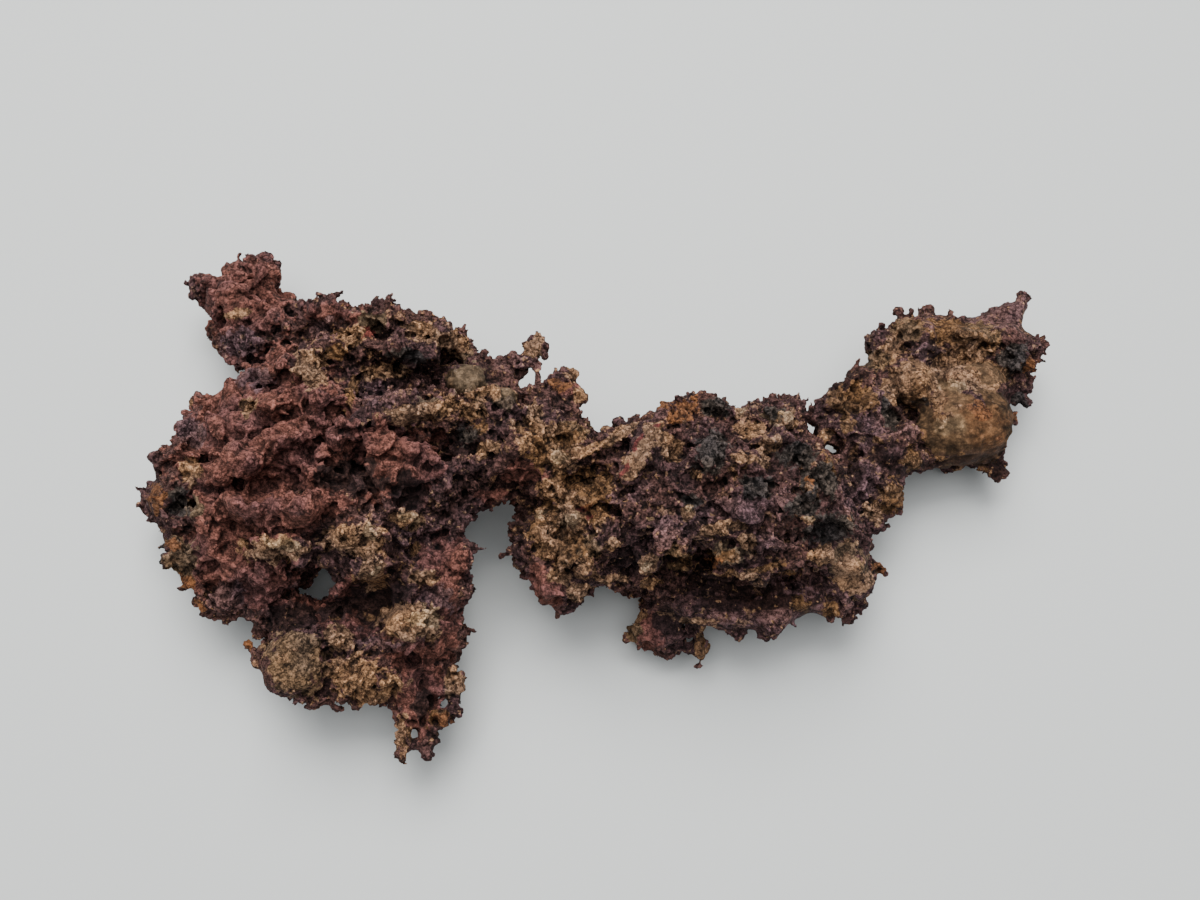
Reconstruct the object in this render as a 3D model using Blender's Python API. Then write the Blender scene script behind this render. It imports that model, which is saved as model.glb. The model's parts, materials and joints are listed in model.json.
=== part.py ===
"""A native copper nugget: three hackly masses grown together in a chain, lying on a table.

The nugget grew as one piece, so it is one solid. It is laid out as it is seen by an eye above and
a little in front of it: every outline point and lump has a place across and up that view, and a
height above the table, all in millimetres. `seen_at` turns those into a point over the table. At
the end the nugget is moved so that the middle of its bounding box stands over the origin.

Slabs give each mass its ragged outline, lumps give it its bulk and relief, and pits are cut out.
A voxel remesh fuses them, displacement roughens the skin, and the table trims the feet flat.
"""

import math

import bmesh
import bpy
from mathutils import Matrix, Vector

MM = 0.001

# How the nugget is looked at while it is laid out.
VIEW_TILT = math.radians(22)  # away from straight down
EYE_DISTANCE = 290
VIEW_CENTRE_HEIGHT = 28  # of the point above the table that the middle of the view falls on

# The skin.
FUSE_VOXEL = 0.9 * MM
MEND_VOXEL = 1.6 * MM
KNOB_SIZE, KNOB_RISE, KNOB_SHARE_ABOVE = 7 * MM, 2.6 * MM, 0.42
GRIT_SIZE, GRIT_RISE = 3 * MM, 1.4 * MM
MOST_TRIANGLES = 9400
CRUMB_EDGE = 0.05 * MM
TABLE_CUTTER = (300, 300, 20)

# Outlines, (across, up) in mm, with the height of the slab's middle and its thickness.
HORN = (
    (-78, 24), (-89, 19), (-92.5, 22), (-94, 25.5), (-96, 28), (-98, 31), (-98.5, 34), (-100, 37),
    (-102.3, 39.5), (-101.5, 41.5), (-99.5, 43.5), (-97.5, 43.5), (-95, 42.5), (-92.5, 44.5),
    (-90, 45.5), (-89, 47.5), (-86.5, 48.5), (-83.5, 47.3), (-82.8, 44.8), (-80.2, 44), (-82.3, 42.3),
    (-80.3, 39.5), (-77.8, 38), (-75.8, 38.4), (-73, 36), (-68, 30),
)
WEST_CREST = (
    (-80, 36), (-73, 36), (-71.5, 38.2), (-67.5, 38.4), (-66.6, 35.6), (-64.5, 36.9), (-61.5, 34.6),
    (-59.5, 36.2), (-54, 37.2), (-51, 35.6), (-48, 33.2), (-46.3, 34.4), (-45, 32), (-44.8, 35),
    (-41, 33), (-40.3, 31.2), (-35.8, 30.8), (-33.8, 27.8), (-31, 24.5), (-33, 12), (-55, 6), (-80, 12),
)
WEST_BODY = (
    (-84, 24), (-89, 18.5), (-88.5, 15.5), (-91, 13.5), (-94, 13.2), (-97.2, 15), (-101.5, 12), (-100, 10.2),
    (-104.6, 9.8), (-103.3, 7.3), (-107, 5), (-108, 2.2), (-107.3, 0), (-112.4, -0.2), (-112.2, -1.8),
    (-107.5, -3.3), (-105.3, -5.5), (-104, -14), (-103, -30), (-101, -35.5), (-99.7, -39.5), (-98, -43),
    (-93, -43.6), (-88, -43.5), (-87.3, -45.8), (-84, -46.4), (-81, -48.3), (-80.5, -56), (-70, -60),
    (-53, -60), (-44, -57), (-38, -53), (-36, -50), (-33.9, -46.5), (-35, -41), (-33.3, -38),
    (-33.6, -34), (-31.5, -31.8), (-32.3, -28.5), (-30.6, -26.5), (-33.5, -24), (-34.8, -20),
    (-33.6, -16), (-30, -8), (-30, 8), (-40, 24),
)
WEST_LOBE = (
    (-104, -4.5), (-107.5, -7.2), (-110.8, -6.8), (-112.7, -10), (-113.4, -14.5), (-112.6, -17.3),
    (-110, -19.3), (-109.2, -22), (-109.6, -27), (-108.4, -31), (-105.5, -34.4), (-101.5, -34),
    (-96, -28), (-96, -10),
)
SIDE_KNOB = (
    (-82, -50), (-84.5, -49.8), (-86.5, -47.6), (-88.9, -48.2), (-88.4, -50), (-85.6, -51.6),
    (-87.2, -53.8), (-84.8, -55), (-81, -54.5),
)
TAIL = (
    (-56, -55), (-54.8, -60.5), (-54.8, -63.2), (-51, -63), (-50.6, -66.5), (-51.7, -71), (-51, -75.4),
    (-49.3, -75.2), (-48.4, -78), (-47, -74.2), (-45, -73.6), (-45.2, -77), (-43, -78.2), (-41.3, -76),
    (-40.8, -73), (-39.2, -71.5), (-37.8, -69), (-36.6, -66), (-38, -63.6), (-35.3, -63.2),
    (-34, -57), (-35.6, -54.3), (-38, -55.6), (-38, -50), (-46, -46),
)
BRIDGE = (
    (-42, 14), (-36, -12), (-31, -14.6), (-27, -14.1), (-23, -14.1), (-22, -11.3), (-18, -12),
    (-6, -14), (4, -4), (6, 5.5), (2.6, 5), (1.8, 7), (0.4, 5.2), (-2.8, 5), (-4.4, 6.6), (-5.4, 9),
    (-8, 11.8), (-5.4, 11.4), (-3.1, 13.6), (-4.6, 16.2), (-7.4, 16.2), (-5.9, 18.6), (-7, 20.6),
    (-10.2, 20.2), (-12.6, 18.6), (-15, 16), (-24, 15),
)
FRILL = (
    (-38, 16), (-34, 26), (-31.4, 25.6), (-28.6, 25), (-25, 23.2), (-22, 24.8), (-19.6, 24), (-19, 27.8),
    (-16.5, 28.6), (-13, 26.2), (-14.4, 22.6), (-16.6, 21), (-20, 19.4), (-20, 14),
)
MIDDLE_BODY = (
    (-14, -2), (-20.4, -11), (-20.6, -14.6), (-19, -16.4), (-22.4, -21.4), (-21, -23.6), (-18, -23.4),
    (-22.2, -26.2), (-20.6, -27.8), (-18.6, -30.8), (-20.4, -31.8), (-17.6, -33.4), (-16.6, -35.2),
    (-14.6, -37.8), (-11.6, -39), (-10.4, -41.6), (-7.5, -40), (-4.6, -39.6), (-3, -37.6), (0, -36.2),
    (3.6, -35.4), (6.6, -33.8), (10, -36), (30, -38), (60, -34), (67, -22), (65, -16), (60, -3), (57, -1),
    (54.6, 1.6), (53, 5.2), (51.6, 7.2), (49.4, 9.4), (48.8, 11.4), (46.8, 13), (44.4, 13), (42, 11.2),
    (38, 11.6), (35.4, 10.6), (33, 8.8), (31, 9.2), (31.6, 11.6), (30.2, 12.8), (25, 13.4), (20, 13.2),
    (17, 10.2), (13.8, 9.4), (10.6, 7), (9.6, 8.6), (7, 8), (4.6, 5),
)
SOUTH_SHEET = (
    (8, -30), (10, -38), (22, -44), (27.4, -45), (33, -46), (38, -45.2), (40.6, -47.2), (45, -46),
    (49, -43.2), (51, -41.2), (55, -41), (57, -42.8), (60, -42.4), (62.6, -43.8), (64.6, -41.6),
    (67.6, -39.6), (69.4, -36.4), (70, -33), (71.6, -31), (70.6, -27.6), (68.6, -26), (66.6, -23.8),
    (62, -20), (40, -18),
)
TAB = (
    (10, -34), (10.2, -40.6), (8, -43), (6, -46), (7, -48.8), (9.5, -50.6), (14, -51.8), (17, -53.6),
    (20.6, -53.4), (20.8, -49.6), (21.4, -46.4), (22.6, -49), (22.4, -53.8), (25.8, -54.2), (27.1, -50),
    (26, -44), (27, -36),
)
EAST_NECK = (
    (46, -14), (57, -2), (60, -0.6), (60.5, 2.5), (57.8, 3.2), (56.4, 1.8), (54.8, 4.6), (52.4, 6.4),
    (52.4, 8), (54.6, 10), (54.2, 13.6), (57.6, 16.6), (60, 19.4), (63, 21.2), (66, 21.4), (72, 22),
    (84, 4), (80, -4.8), (77.6, -7.8), (74.6, -10.4), (75.4, -14.2), (74, -15.6), (71, -16.2),
    (70.6, -18.6), (69.2, -20), (66.6, -18.6), (64.6, -19), (58, -26),
)
EAST_BODY = (
    (66, 16), (67, 23.4), (66.2, 26), (66.6, 28.4), (69, 28.6), (69.4, 31.4), (71.2, 30.4), (73.6, 32.4),
    (74.4, 35.4), (76.4, 34), (77.6, 35.6), (78.4, 33), (80, 34), (81.6, 36.2), (84.4, 34.8), (86, 32.8),
    (90.6, 33.2), (94, 32.4), (95.8, 34.2), (104.6, 31), (107, 28.6), (110, 27.4), (111.6, 25),
    (109.4, 23.4), (109.4, 20), (106, 17.4), (103.2, 15.6), (101.2, 13), (101.6, 10), (103.9, 9.5),
    (103.8, 6.8), (102.9, 3), (101.4, -0.4), (97, -1.6), (94, -3.4), (88, -4.2), (82, -4), (74, -2),
)
EAST_SPUR = (
    (94, 28), (95.6, 34.2), (98.8, 34.6), (99, 36.2), (103.4, 37.2), (105.8, 39), (107.6, 38),
    (106.2, 34), (104.8, 30), (100, 24),
)
EAST_KNOB = (
    (93, 1), (96, -3.2), (94.4, -5.4), (98, -8.2), (100.6, -7.6), (102.2, -5.4), (101.6, -3.4),
    (99, -1), (98, 2),
)
EAST_LEAF = ((101.5, 16.5), (105, 15.4), (107.4, 13), (108.1, 10.8), (106.2, 11), (103, 13.4), (100, 13.5))

# Each slab: its outline, the height of its middle where the view's centre is, how much that
# middle rises for each millimetre across and up, and its thickness.
SLABS = (
    (HORN, 24, 0.05, -0.05, 6),
    (WEST_CREST, 31, 0.02, -0.25, 8),
    (WEST_BODY, 24, 0.02, 0.08, 8),
    (WEST_LOBE, 18, 0, 0, 8),
    (SIDE_KNOB, 17, 0, 0, 6),
    (TAIL, 17, 0, 0, 5),
    (BRIDGE, 32, 0, 0.1, 7),
    (FRILL, 30, 0, 0, 5),
    (MIDDLE_BODY, 27, 0, 0.12, 8),
    (SOUTH_SHEET, 18, 0.02, 0, 5),
    (TAB, 9, 0, 0, 5),
    (EAST_NECK, 21, 0, 0, 6),
    (EAST_BODY, 18, 0, 0, 7),
    (EAST_SPUR, 18, 0, 0, 5),
    (EAST_KNOB, 12, 0, 0, 5),
    (EAST_LEAF, 17, 0, 0, 3.4),
)
SLAB_WAVE = 1.6  # how far an outline point may stand above or below its slab's middle

# Rims: the outline, how far its knobs range above and below the slab, and their usual radius.
RIMS = (
    (HORN, 24, 0.05, -0.05, 5, 2.8),
    (WEST_CREST, 30, 0.02, -0.25, 7, 3.8),
    (WEST_BODY, 22, 0.02, 0.08, 9, 4.2),
    (WEST_BODY, 15, 0, 0, 5, 4.6),
    (WEST_LOBE, 18, 0, 0, 8, 4),
    (TAIL, 17, 0, 0, 2, 2.4),
    (BRIDGE, 31, 0, 0.1, 5, 3),
    (FRILL, 30, 0, 0, 2, 1.8),
    (MIDDLE_BODY, 26, 0, 0.12, 8, 4),
    (MIDDLE_BODY, 20, 0, 0, 6, 4),
    (SOUTH_SHEET, 17, 0.02, 0, 3, 2.8),
    (TAB, 8, 0, 0, 3, 2.8),
    (EAST_NECK, 20, 0, 0, 4, 3.2),
    (EAST_BODY, 17, 0, 0, 6, 3.4),
)

# Lumps: across, up, height of the centre; radii across, up and in height; turn in degrees.
WEST_LUMPS = (
    # the horn's ribbed face and its root
    (-92, 37, 27, 8, 5, 5, 20), (-85, 43, 26, 4, 4, 4, 0), (-84, 32, 30, 8, 6, 6, -20),
    (-88, 26, 27, 6, 5, 6, -30), (-99, 41, 24, 3, 2.5, 3, 0),
    # the crest along the north side, and the ledge under it
    (-72, 32, 34, 6, 5, 6, 0), (-62, 32, 36, 7, 4, 6, 0), (-53, 31, 38, 8, 4, 6, -10),
    (-42, 29, 36, 7, 4, 6, -25), (-70, 24, 40, 6, 4.5, 6, 0), (-72, 18, 42, 5, 3.5, 5, 0),
    (-60, 24, 40, 7, 3, 4, 10), (-48, 24, 41, 8, 2.6, 3, -10), (-36, 17, 41, 5, 4, 4, 30),
    # pale seam running east from the middle of the mass to the bridge
    (-50, 9, 46, 6, 4, 5, 0), (-40, 10, 46, 8, 3, 5, 10), (-29, 13, 45, 6, 3, 4, 10),
    # red knobs across the middle
    (-81, 19, 37, 6, 4, 6, 0), (-80, 11, 41, 6, 4, 6, 0), (-68, 12, 44, 8, 3.5, 6, 10),
    (-71, 7, 45, 5, 3.5, 6, 0), (-60, 7, 45, 5, 4, 6, 0), (-96, 5, 33, 6, 4.5, 6, 0),
    (-102.5, 2, 28, 3.4, 3.4, 5, 0), (-95, -4, 37, 6, 4, 7, 30), (-87, -3, 42, 6, 4.5, 7, -20),
    (-79, 2, 44, 6, 3, 6, 10), (-92, -8, 39, 6, 3.5, 7, 0), (-72, -6, 45, 5, 3.5, 6, 0),
    (-96, -16, 34, 7, 5, 8, 0), (-86, -14, 41, 7, 4, 7, 0), (-75, -14, 45, 6, 4.5, 7, 10),
    (-66, -13, 44, 4, 3.5, 6, 0), (-57, -6, 45, 6, 4, 6, 20), (-54, 2, 46, 4, 3, 4, 0),
    (-45, -3, 45, 6, 5, 6, 0), (-53, -11, 45, 5, 3, 6, 0), (-41, -10, 41, 6, 4, 6, 0),
    (-96, -24, 30, 6, 4, 7, 0), (-91, -32, 27, 7, 5, 6, 0), (-95, -39, 23, 5, 3.5, 4, 0),
    # pale ridge over the window, and the crust ledge beside it
    (-82, -23.5, 39, 7, 2.6, 5, 5), (-74, -25, 39, 4, 3, 5, 0), (-84, -28, 34, 6, 3, 5, 0),
    (-64, -22, 43, 6, 3, 5, -20), (-58, -26, 42, 5, 4, 5, 0), (-57, -31, 40, 4, 3, 4, 0),
    (-52, -17, 44, 6, 2.8, 5, 15), (-60, -16, 43, 5, 2.6, 5, 0), (-80, -33, 30, 5, 3, 5, 0),
    # dark lobe on the far west
    (-106, -12, 25, 6, 5, 6, 0), (-105, -27, 21, 5, 6.5, 7, 10), (-104, -7, 29, 3, 3, 4, 0),
    # east edge of the mass
    (-37, -18, 34, 4, 4, 6, 0), (-37, -26, 31, 5, 5, 6, 0), (-44, -29, 34, 4, 3, 4, 0),
    (-38, -36, 28, 5, 5, 6, 0), (-37, -46, 25, 4, 4, 5, 0), (-46, -38, 29, 4, 4, 4, 0),
    # pale stones along the south side
    (-75, -54, 24, 8, 7.5, 8, 20), (-72, -61, 22, 5, 4, 5, 0), (-62, -56, 24, 7, 5, 7, 0),
    (-66, -46, 29, 4, 4.5, 5, 0), (-61, -62, 21, 6, 3, 5, 10), (-53, -58, 25, 4, 3, 4, 0),
    (-47, -44, 32, 7, 4.5, 6, 10), (-55, -45, 30, 4, 3, 4, 0), (-84, -42, 24, 4, 3, 4, 0),
    (-56, -50, 26, 8, 2.4, 4, 0), (-46, -54, 26, 5, 4, 4, 0), (-67, -50, 28, 3, 2, 3, 0),
    # tail
    (-46, -62, 20, 4, 4, 4, 0), (-49, -71, 18, 2.5, 5, 3.5, 0), (-40, -66, 18, 3.5, 3, 3.5, 0),
    (-37, -58, 19, 3, 3, 3, 0),
)
BRIDGE_LUMPS = (
    (-24, 8, 44, 7, 4, 5, 0), (-30, 4, 44, 5, 4, 5, 0), (-22, 1, 43, 7, 4, 5, 0), (-32, -3, 40, 5, 4, 5, 0),
    (-22, -5, 41, 7, 3.4, 5, -5), (-13, 6, 41, 5, 5, 5, 0), (-15, -1, 42, 4, 4, 5, 0),
    (-10, 13, 36, 4, 4, 4, 0), (-7, 18, 33, 2.6, 2.2, 3, 0), (-5, 14, 33, 2.2, 2.2, 3, 0),
    (-16.5, 25, 31, 3, 3, 3.6, 0), (-4, 3, 36, 6, 3, 4, 20), (-28, 18, 34, 6, 3, 5, -15),
    (-33, -8, 31, 6, 5, 8, 0), (-16, -6, 30, 8, 6, 9, 0),
)
MIDDLE_LUMPS = (
    # pale west flank
    (-10, -5, 38, 6, 4, 6, 25), (-1, 0, 40, 8, 3, 6, 28), (6, 3, 42, 6, 3, 5, 35), (-13, -10, 34, 5, 4, 5, 0),
    (-4, -15, 39, 6, 4, 6, 0), (3, -10, 42, 5, 4, 5, 0), (-12, -22, 31, 6, 5, 7, 0), (-9, -30, 27, 7, 5, 7, 0),
    (-3, -25, 34, 5, 4, 6, 0), (3, -22, 39, 5, 4, 6, 0), (1, -31, 29, 6, 4, 6, 0), (-11, -36, 22, 5, 4, 5, 0),
    (-18, -19, 26, 3.5, 3, 4, 0), (-18, -29, 23, 2.5, 3, 3.5, 0), (8, -28, 34, 4, 4, 5, 0),
    # slab with a red edge, standing on the flank
    (10, -1, 48, 3.2, 9, 3, -28), (16, 3, 47, 4, 4, 4, 0),
    # orange and black crest
    (19, 9, 43, 5, 3.5, 5, 20), (27, 10, 43, 5, 3.4, 5, 0), (25, 3, 48, 5, 5, 5, 0), (27, -3, 51, 5, 5, 6, 15),
    (16, -4, 49, 5, 4, 5, 0), (22, -10, 50, 5, 4, 5, 0), (12, -12, 47, 5, 4, 5, 0), (14, -19, 45, 6, 4, 6, 0),
    (19, -24, 43, 5, 3.6, 5, 0), (11, -28, 37, 4, 4, 5, 0), (22, -18, 46, 4, 3, 5, 0),
    (36, 7, 44, 5, 4, 5, 0), (44, 9, 43, 5, 4, 5, 0), (47, 6, 43, 4, 4, 5, 0), (34, 2, 48, 5, 3, 4, 0),
    (42, 2, 47, 5, 4, 5, 0), (36, -4, 49, 6, 3.4, 5, 0), (48, -3, 45, 6, 4, 5, 0), (52, -9, 43, 6, 4, 5, -20),
    (44, -9, 48, 6, 4, 5, 0), (34, -13, 51, 6, 4, 6, 0), (42, -15, 49, 6, 4, 5, 0), (52, -17, 42, 6, 4, 5, 0),
    (60, -18, 37, 5, 3.4, 5, 0), (33, -20, 48, 6, 3, 5, 0), (42, -22, 44, 6, 3, 5, 0),
    (32, -26, 43, 6, 3, 5, 0), (37, -30, 38, 9, 2.6, 4, 5), (47, -27, 39, 6, 3, 5, 0), (57, -9, 39, 4, 3, 4, 0),
    # pale plate at the south-east corner, and the sheet below the ledge
    (62, -27, 31, 6, 5, 4, 30), (55, -27, 34, 4, 3.4, 4, 0), (66, -34, 25, 4, 4, 4, 0), (60, -36, 22, 6, 4, 4, 0),
    (50, -36, 22, 6, 4, 5, 0), (40, -41, 19, 7, 4, 5, 0), (30, -40, 20, 6, 4, 5, 0), (22, -38, 20, 6, 5, 6, 0),
    (14, -44, 12, 5, 5, 5, 0), (23.5, -50, 10, 3, 3.6, 4, 0), (10, -46, 11, 3, 3, 4, 0), (17, -50, 10, 3.4, 3, 4, 0),
)
EAST_LUMPS = (
    (60, 12, 25, 5, 6, 5, 0), (64, 4, 26, 6, 6, 6, 0), (58, 6, 23, 3, 3, 3, 0), (70, 10, 26, 6, 7, 6, 0),
    (73, 2, 27, 6, 5, 6, 0), (66, -6, 24, 7, 5, 6, -20), (62, -12, 24, 6, 5, 6, 0), (70, -13, 20, 5, 4, 5, 0),
    (68.5, -17, 17, 2.5, 2.5, 3, 0), (78, -3, 22, 4, 3.4, 5, 0), (72, 18, 24, 5, 4, 5, 0),
    # the big pale stone and its shoulder
    (92, 7, 22, 11, 9.5, 9, 10), (86, 4, 21, 7, 7, 8, 0), (97, 14, 22, 6, 6, 6, 0), (90, 17, 24, 9, 4.5, 6, 10),
    (79, 16, 24, 6, 5, 6, 0), (98, 3, 19, 5, 5, 6, 0),
    # hackly rim along the north
    (72, 27, 21, 4, 4, 4, 0), (78, 29, 22, 5, 4, 5, 0), (83, 30, 22, 3, 4.6, 4, 0), (90, 27, 23, 6, 4, 5, 0),
    (98, 28, 21, 5, 4, 5, 0), (102, 34, 19, 3, 3, 3.4, 0), (104, 22, 21, 4.6, 5, 5, 0), (108, 24, 18, 2.6, 3, 3, 0),
    (80, 23, 25, 7, 3, 4, 0), (99, -5, 13, 3, 2.6, 3.4, 0),
)
# The bulk under the knobs.
CORES = (
    (-70, -2, 27, 33, 27, 16, 0), (-54, -20, 28, 19, 21, 14, 0), (-86, -22, 22, 17, 18, 13, 0),
    (-62, 22, 26, 24, 11, 13, -5), (-61, -49, 19, 19, 10, 9, 0), (-86, 34, 24, 9, 9, 6, 0),
    (-20, 3, 34, 20, 8, 8, 0), (18, -9, 31, 24, 16, 17, 0), (42, -10, 33, 21, 14, 15, 0),
    (1, -18, 26, 15, 15, 12, 0), (42, -34, 20, 22, 8, 7, 0), (18, -42, 10, 8, 8, 7, 0),
    (56, -24, 24, 12, 9, 9, 0), (66, 1, 20, 10, 14, 7, 0), (89, 6, 15, 13, 10, 9, 0), (87, 22, 16, 16, 9, 7, 5),
)
# The knobs of the underside, which nobody sees while it lies there.
UNDER_LUMPS = (
    (-92, -4, 15, 9, 8, 8, 0), (-76, -10, 13, 10, 9, 8, 20), (-58, -14, 14, 9, 11, 8, 0),
    (-44, 0, 17, 9, 10, 8, 0), (-80, 22, 17, 9, 7, 8, 0), (-66, 24, 17, 9, 7, 8, 0), (-50, 22, 21, 8, 7, 8, 0),
    (-100, -16, 14, 8, 9, 8, 0), (-82, -32, 11, 8, 7, 7, 0), (-46, -34, 13, 8, 10, 7, 0),
    (-72, -54, 12, 8, 6, 6, 0), (-50, -56, 13, 7, 5, 5, 0), (-84, 30, 17, 6, 6, 6, 0), (-30, 4, 26, 8, 6, 5, 0),
    (-14, 0, 26, 7, 6, 6, 0), (-10, -22, 17, 8, 8, 7, 0), (2, -8, 19, 9, 8, 8, 0), (8, -28, 14, 8, 7, 7, 0),
    (22, -16, 15, 10, 8, 8, 0), (34, 4, 19, 9, 7, 8, 0), (34, -26, 14, 9, 7, 6, 0), (54, -10, 17, 9, 8, 7, 0),
    (56, -32, 15, 8, 6, 5, 0), (44, -36, 13, 7, 5, 4, 0), (62, -4, 14, 7, 7, 5, 0), (68, 10, 15, 6, 7, 5, 0),
    (80, 18, 11, 8, 6, 6, 0), (96, 18, 11, 8, 7, 6, 0), (78, 4, 12, 7, 6, 5, 0), (94, 28, 12, 7, 4, 5, 0),
)
# The low places that it rests on.
FEET = (
    (-95, -24, 7, 13, 10, 10, 20), (-60, -44, 7, 14, 9, 10, -10), (-62, 6, 9, 17, 12, 12, 10),
    (19, -38, 5, 9, 8, 8, 0), (46, -10, 8, 13, 10, 11, 0), (16, -2, 9, 11, 9, 12, 0), (90, 4, 6, 11, 9, 9, 0),
)

# The windows that the table shows through, cut along the eye's lines.
WINDOWS = (
    (
        (-74, -32.6), (-73, -30.6), (-71, -29.4), (-68.6, -29.4), (-66.6, -30.6), (-65.2, -33), (-65.8, -35.8),
        (-68, -37.6), (-70.8, -38.2), (-72.4, -36.8), (-75.8, -35.6), (-75.6, -33.8),
    ),
    ((-19.8, 19.6), (-18.4, 16.4), (-15.6, 15.8), (-15.2, 17.6), (-17, 20.2)),
)
WINDOW_DEPTH = 120

# Pits: across, up, height of the centre; radii; turn.
PITS = (
    # the dark hollow beside the west window
    (-58, -39, 36, 7, 4, 8, 20), (-47, -23.5, 41, 5, 2.2, 7, 0),
    (-83.4, -43.2, 24, 1.4, 1, 8, -20),
    # deep clefts between the red knobs
    (-68, 1, 50, 5, 1.6, 8, -25), (-54, -2, 53, 5, 2, 9, 10), (-59, -11, 52, 5, 1.6, 8, -30),
    (-78, -9.5, 50, 4, 1.2, 7, 0), (-85, 6, 44, 3.4, 1.4, 6, 0), (-90, -10, 46, 5, 1.4, 6, 0),
    (-67, -9, 52, 2, 4, 6, 0), (-47, 21.5, 43, 8, 1.8, 5, -6), (-50, -13, 51, 2, 3.4, 7, 0),
    (-62, -50.6, 29, 6, 1.2, 5, 0), (-57, -45, 35, 3, 2, 5, 0), (-86, -31, 35, 4, 1.4, 5, 0),
    (-45, 13, 49, 4, 1.4, 4, 0), (-36, 4, 49, 3, 2, 5, 0),
    # between the bridge and the middle mass
    (-12, -6.5, 44, 3, 2.6, 8, -30), (-13, 3, 46, 2, 3, 6, 0),
    # clefts in the middle mass
    (6, -16, 46, 2, 4, 7, 0), (20, -27.5, 48, 2, 3, 8, 0), (24.5, -24, 50, 2, 2.4, 10, 0),
    (31, -9, 55, 4, 1.4, 7, 0), (33, -0.5, 53, 4, 1.2, 6, 0), (48, -20.5, 46, 4, 1.6, 7, 0),
    (39, -25.5, 45, 6, 1.2, 7, -10), (35, -33.5, 34, 15, 1.8, 6, 2), (10, -20.5, 47, 1.6, 3, 6, 0),
    (38, -13, 56, 1.4, 3.4, 7, 0), (6, -31, 36, 3, 2.4, 6, 0), (18, -1, 53, 1.6, 4, 6, -25),
    # between the neck and the east mass
    (75, 8.5, 31, 5, 1.2, 8, -20), (80, 4, 30, 1.4, 4, 8, 0), (71, 21, 30, 1.2, 3, 5, 0),
    (101, 17, 26, 1.2, 4, 5, 30),
)


def seen_at(across, up, height):
    """The point, in metres, at that height on the eye's line through (across, up)."""
    view_up = Vector((0, math.cos(VIEW_TILT), math.sin(VIEW_TILT)))
    to_eye = Vector((0, -math.sin(VIEW_TILT), math.cos(VIEW_TILT)))
    centre = Vector((0, 0, VIEW_CENTRE_HEIGHT))
    eye = centre + to_eye * EYE_DISTANCE
    on_plane = centre + Vector((across, 0, 0)) + view_up * up
    share = (eye.z - height) / (eye.z - on_plane.z)
    point = eye + (on_plane - eye) * share
    return Vector((point.x, point.y, height)) * MM


def uneven(across, up):
    """A number between -1 and 1 that jumps from one place to the next, always the same there."""
    return math.sin(12.9898 * across + 78.233 * up)


def add_slab(mesh, outline, height, rise_across, rise_up, thickness, wave):
    """Adds a plate whose walls follow the eye's lines, so that it shows exactly its outline."""
    rings = []
    for side in (-0.5, 0.5):
        rings.append([
            mesh.verts.new(seen_at(
                a, u, height + rise_across * a + rise_up * u + side * thickness + wave * uneven(a, u)
            ))
            for a, u in outline
        ])
    low, high = rings
    mesh.faces.new(low)
    mesh.faces.new(high)
    for i in range(len(outline)):
        j = (i + 1) % len(outline)
        mesh.faces.new((low[i], low[j], high[j], high[i]))


def add_lump(mesh, across, up, height, radius_across, radius_up, radius_high, turn, roundness=3):
    """Adds an ellipsoid with its centre seen at (across, up)."""
    place = Matrix.Translation(seen_at(across, up, height))
    turned = Matrix.Rotation(math.radians(turn), 4, "Z")
    size = Matrix.Diagonal((radius_across * MM, radius_up * MM, radius_high * MM, 1))
    bmesh.ops.create_icosphere(mesh, subdivisions=roundness, radius=1, matrix=place @ turned @ size)


def add_rim(mesh, outline, height, rise_across, rise_up, spread, radius):
    """Adds knobs just inside an outline, at uneven heights, so that its side is not a plain wall."""
    points = [Vector(point) for point in outline]
    turning = sum(a.cross(b) for a, b in zip(points, points[1:] + points[:1]))
    for i, point in enumerate(points):
        before = points[i - 1] - point
        after = points[(i + 1) % len(points)] - point
        room = 1.5 * min(before.length, after.length)
        before.normalize()
        after.normalize()
        inward = Vector((-after.y + before.y, after.x - before.x))
        inward = inward.normalized() * math.copysign(1, turning)
        corner = before.angle(after) / 2
        jump = uneven(*point)
        size = min(room, radius * (1 + 0.3 * uneven(point.y, point.x)))
        reach = size / max(0.5, math.sin(corner)) if inward.dot(before + after) > 0 else size
        centre = point + inward * reach
        knob_height = height + rise_across * point.x + rise_up * point.y + spread * jump
        add_lump(mesh, *centre, knob_height, size, size, size * 1.15, 0, 2)


def object_of(mesh, name):
    """Links a bmesh as a new object, with its faces pointing out."""
    bmesh.ops.recalc_face_normals(mesh, faces=mesh.faces)
    data = bpy.data.meshes.new(name)
    mesh.to_mesh(data)
    mesh.free()
    obj = bpy.data.objects.new(name, data)
    bpy.context.scene.collection.objects.link(obj)
    return obj


def fuse(obj, name, voxel):
    """Makes one closed skin of everything that overlaps."""
    remesh = obj.modifiers.new(name, "REMESH")
    remesh.mode = "VOXEL"
    remesh.voxel_size = voxel


def hide_cutter(obj):
    """Keeps a cutter out of the model."""
    obj.hide_render = True
    obj.display_type = "WIRE"


def cut(obj, cutter, name):
    """Takes the cutter away from the object."""
    boolean = obj.modifiers.new(name, "BOOLEAN")
    boolean.operation = "DIFFERENCE"
    boolean.solver = "EXACT"
    boolean.object = cutter


def pit_cutter():
    """The pits, clefts and windows as one closed cutter."""
    mesh = bmesh.new()
    for outline in WINDOWS:
        add_slab(mesh, outline, VIEW_CENTRE_HEIGHT, 0, 0, WINDOW_DEPTH, 0)
    for pit in PITS:
        add_lump(mesh, *pit)
    obj = object_of(mesh, "pit_cutter")
    fuse(obj, "fuse the pits", FUSE_VOXEL)
    hide_cutter(obj)
    return obj


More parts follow.
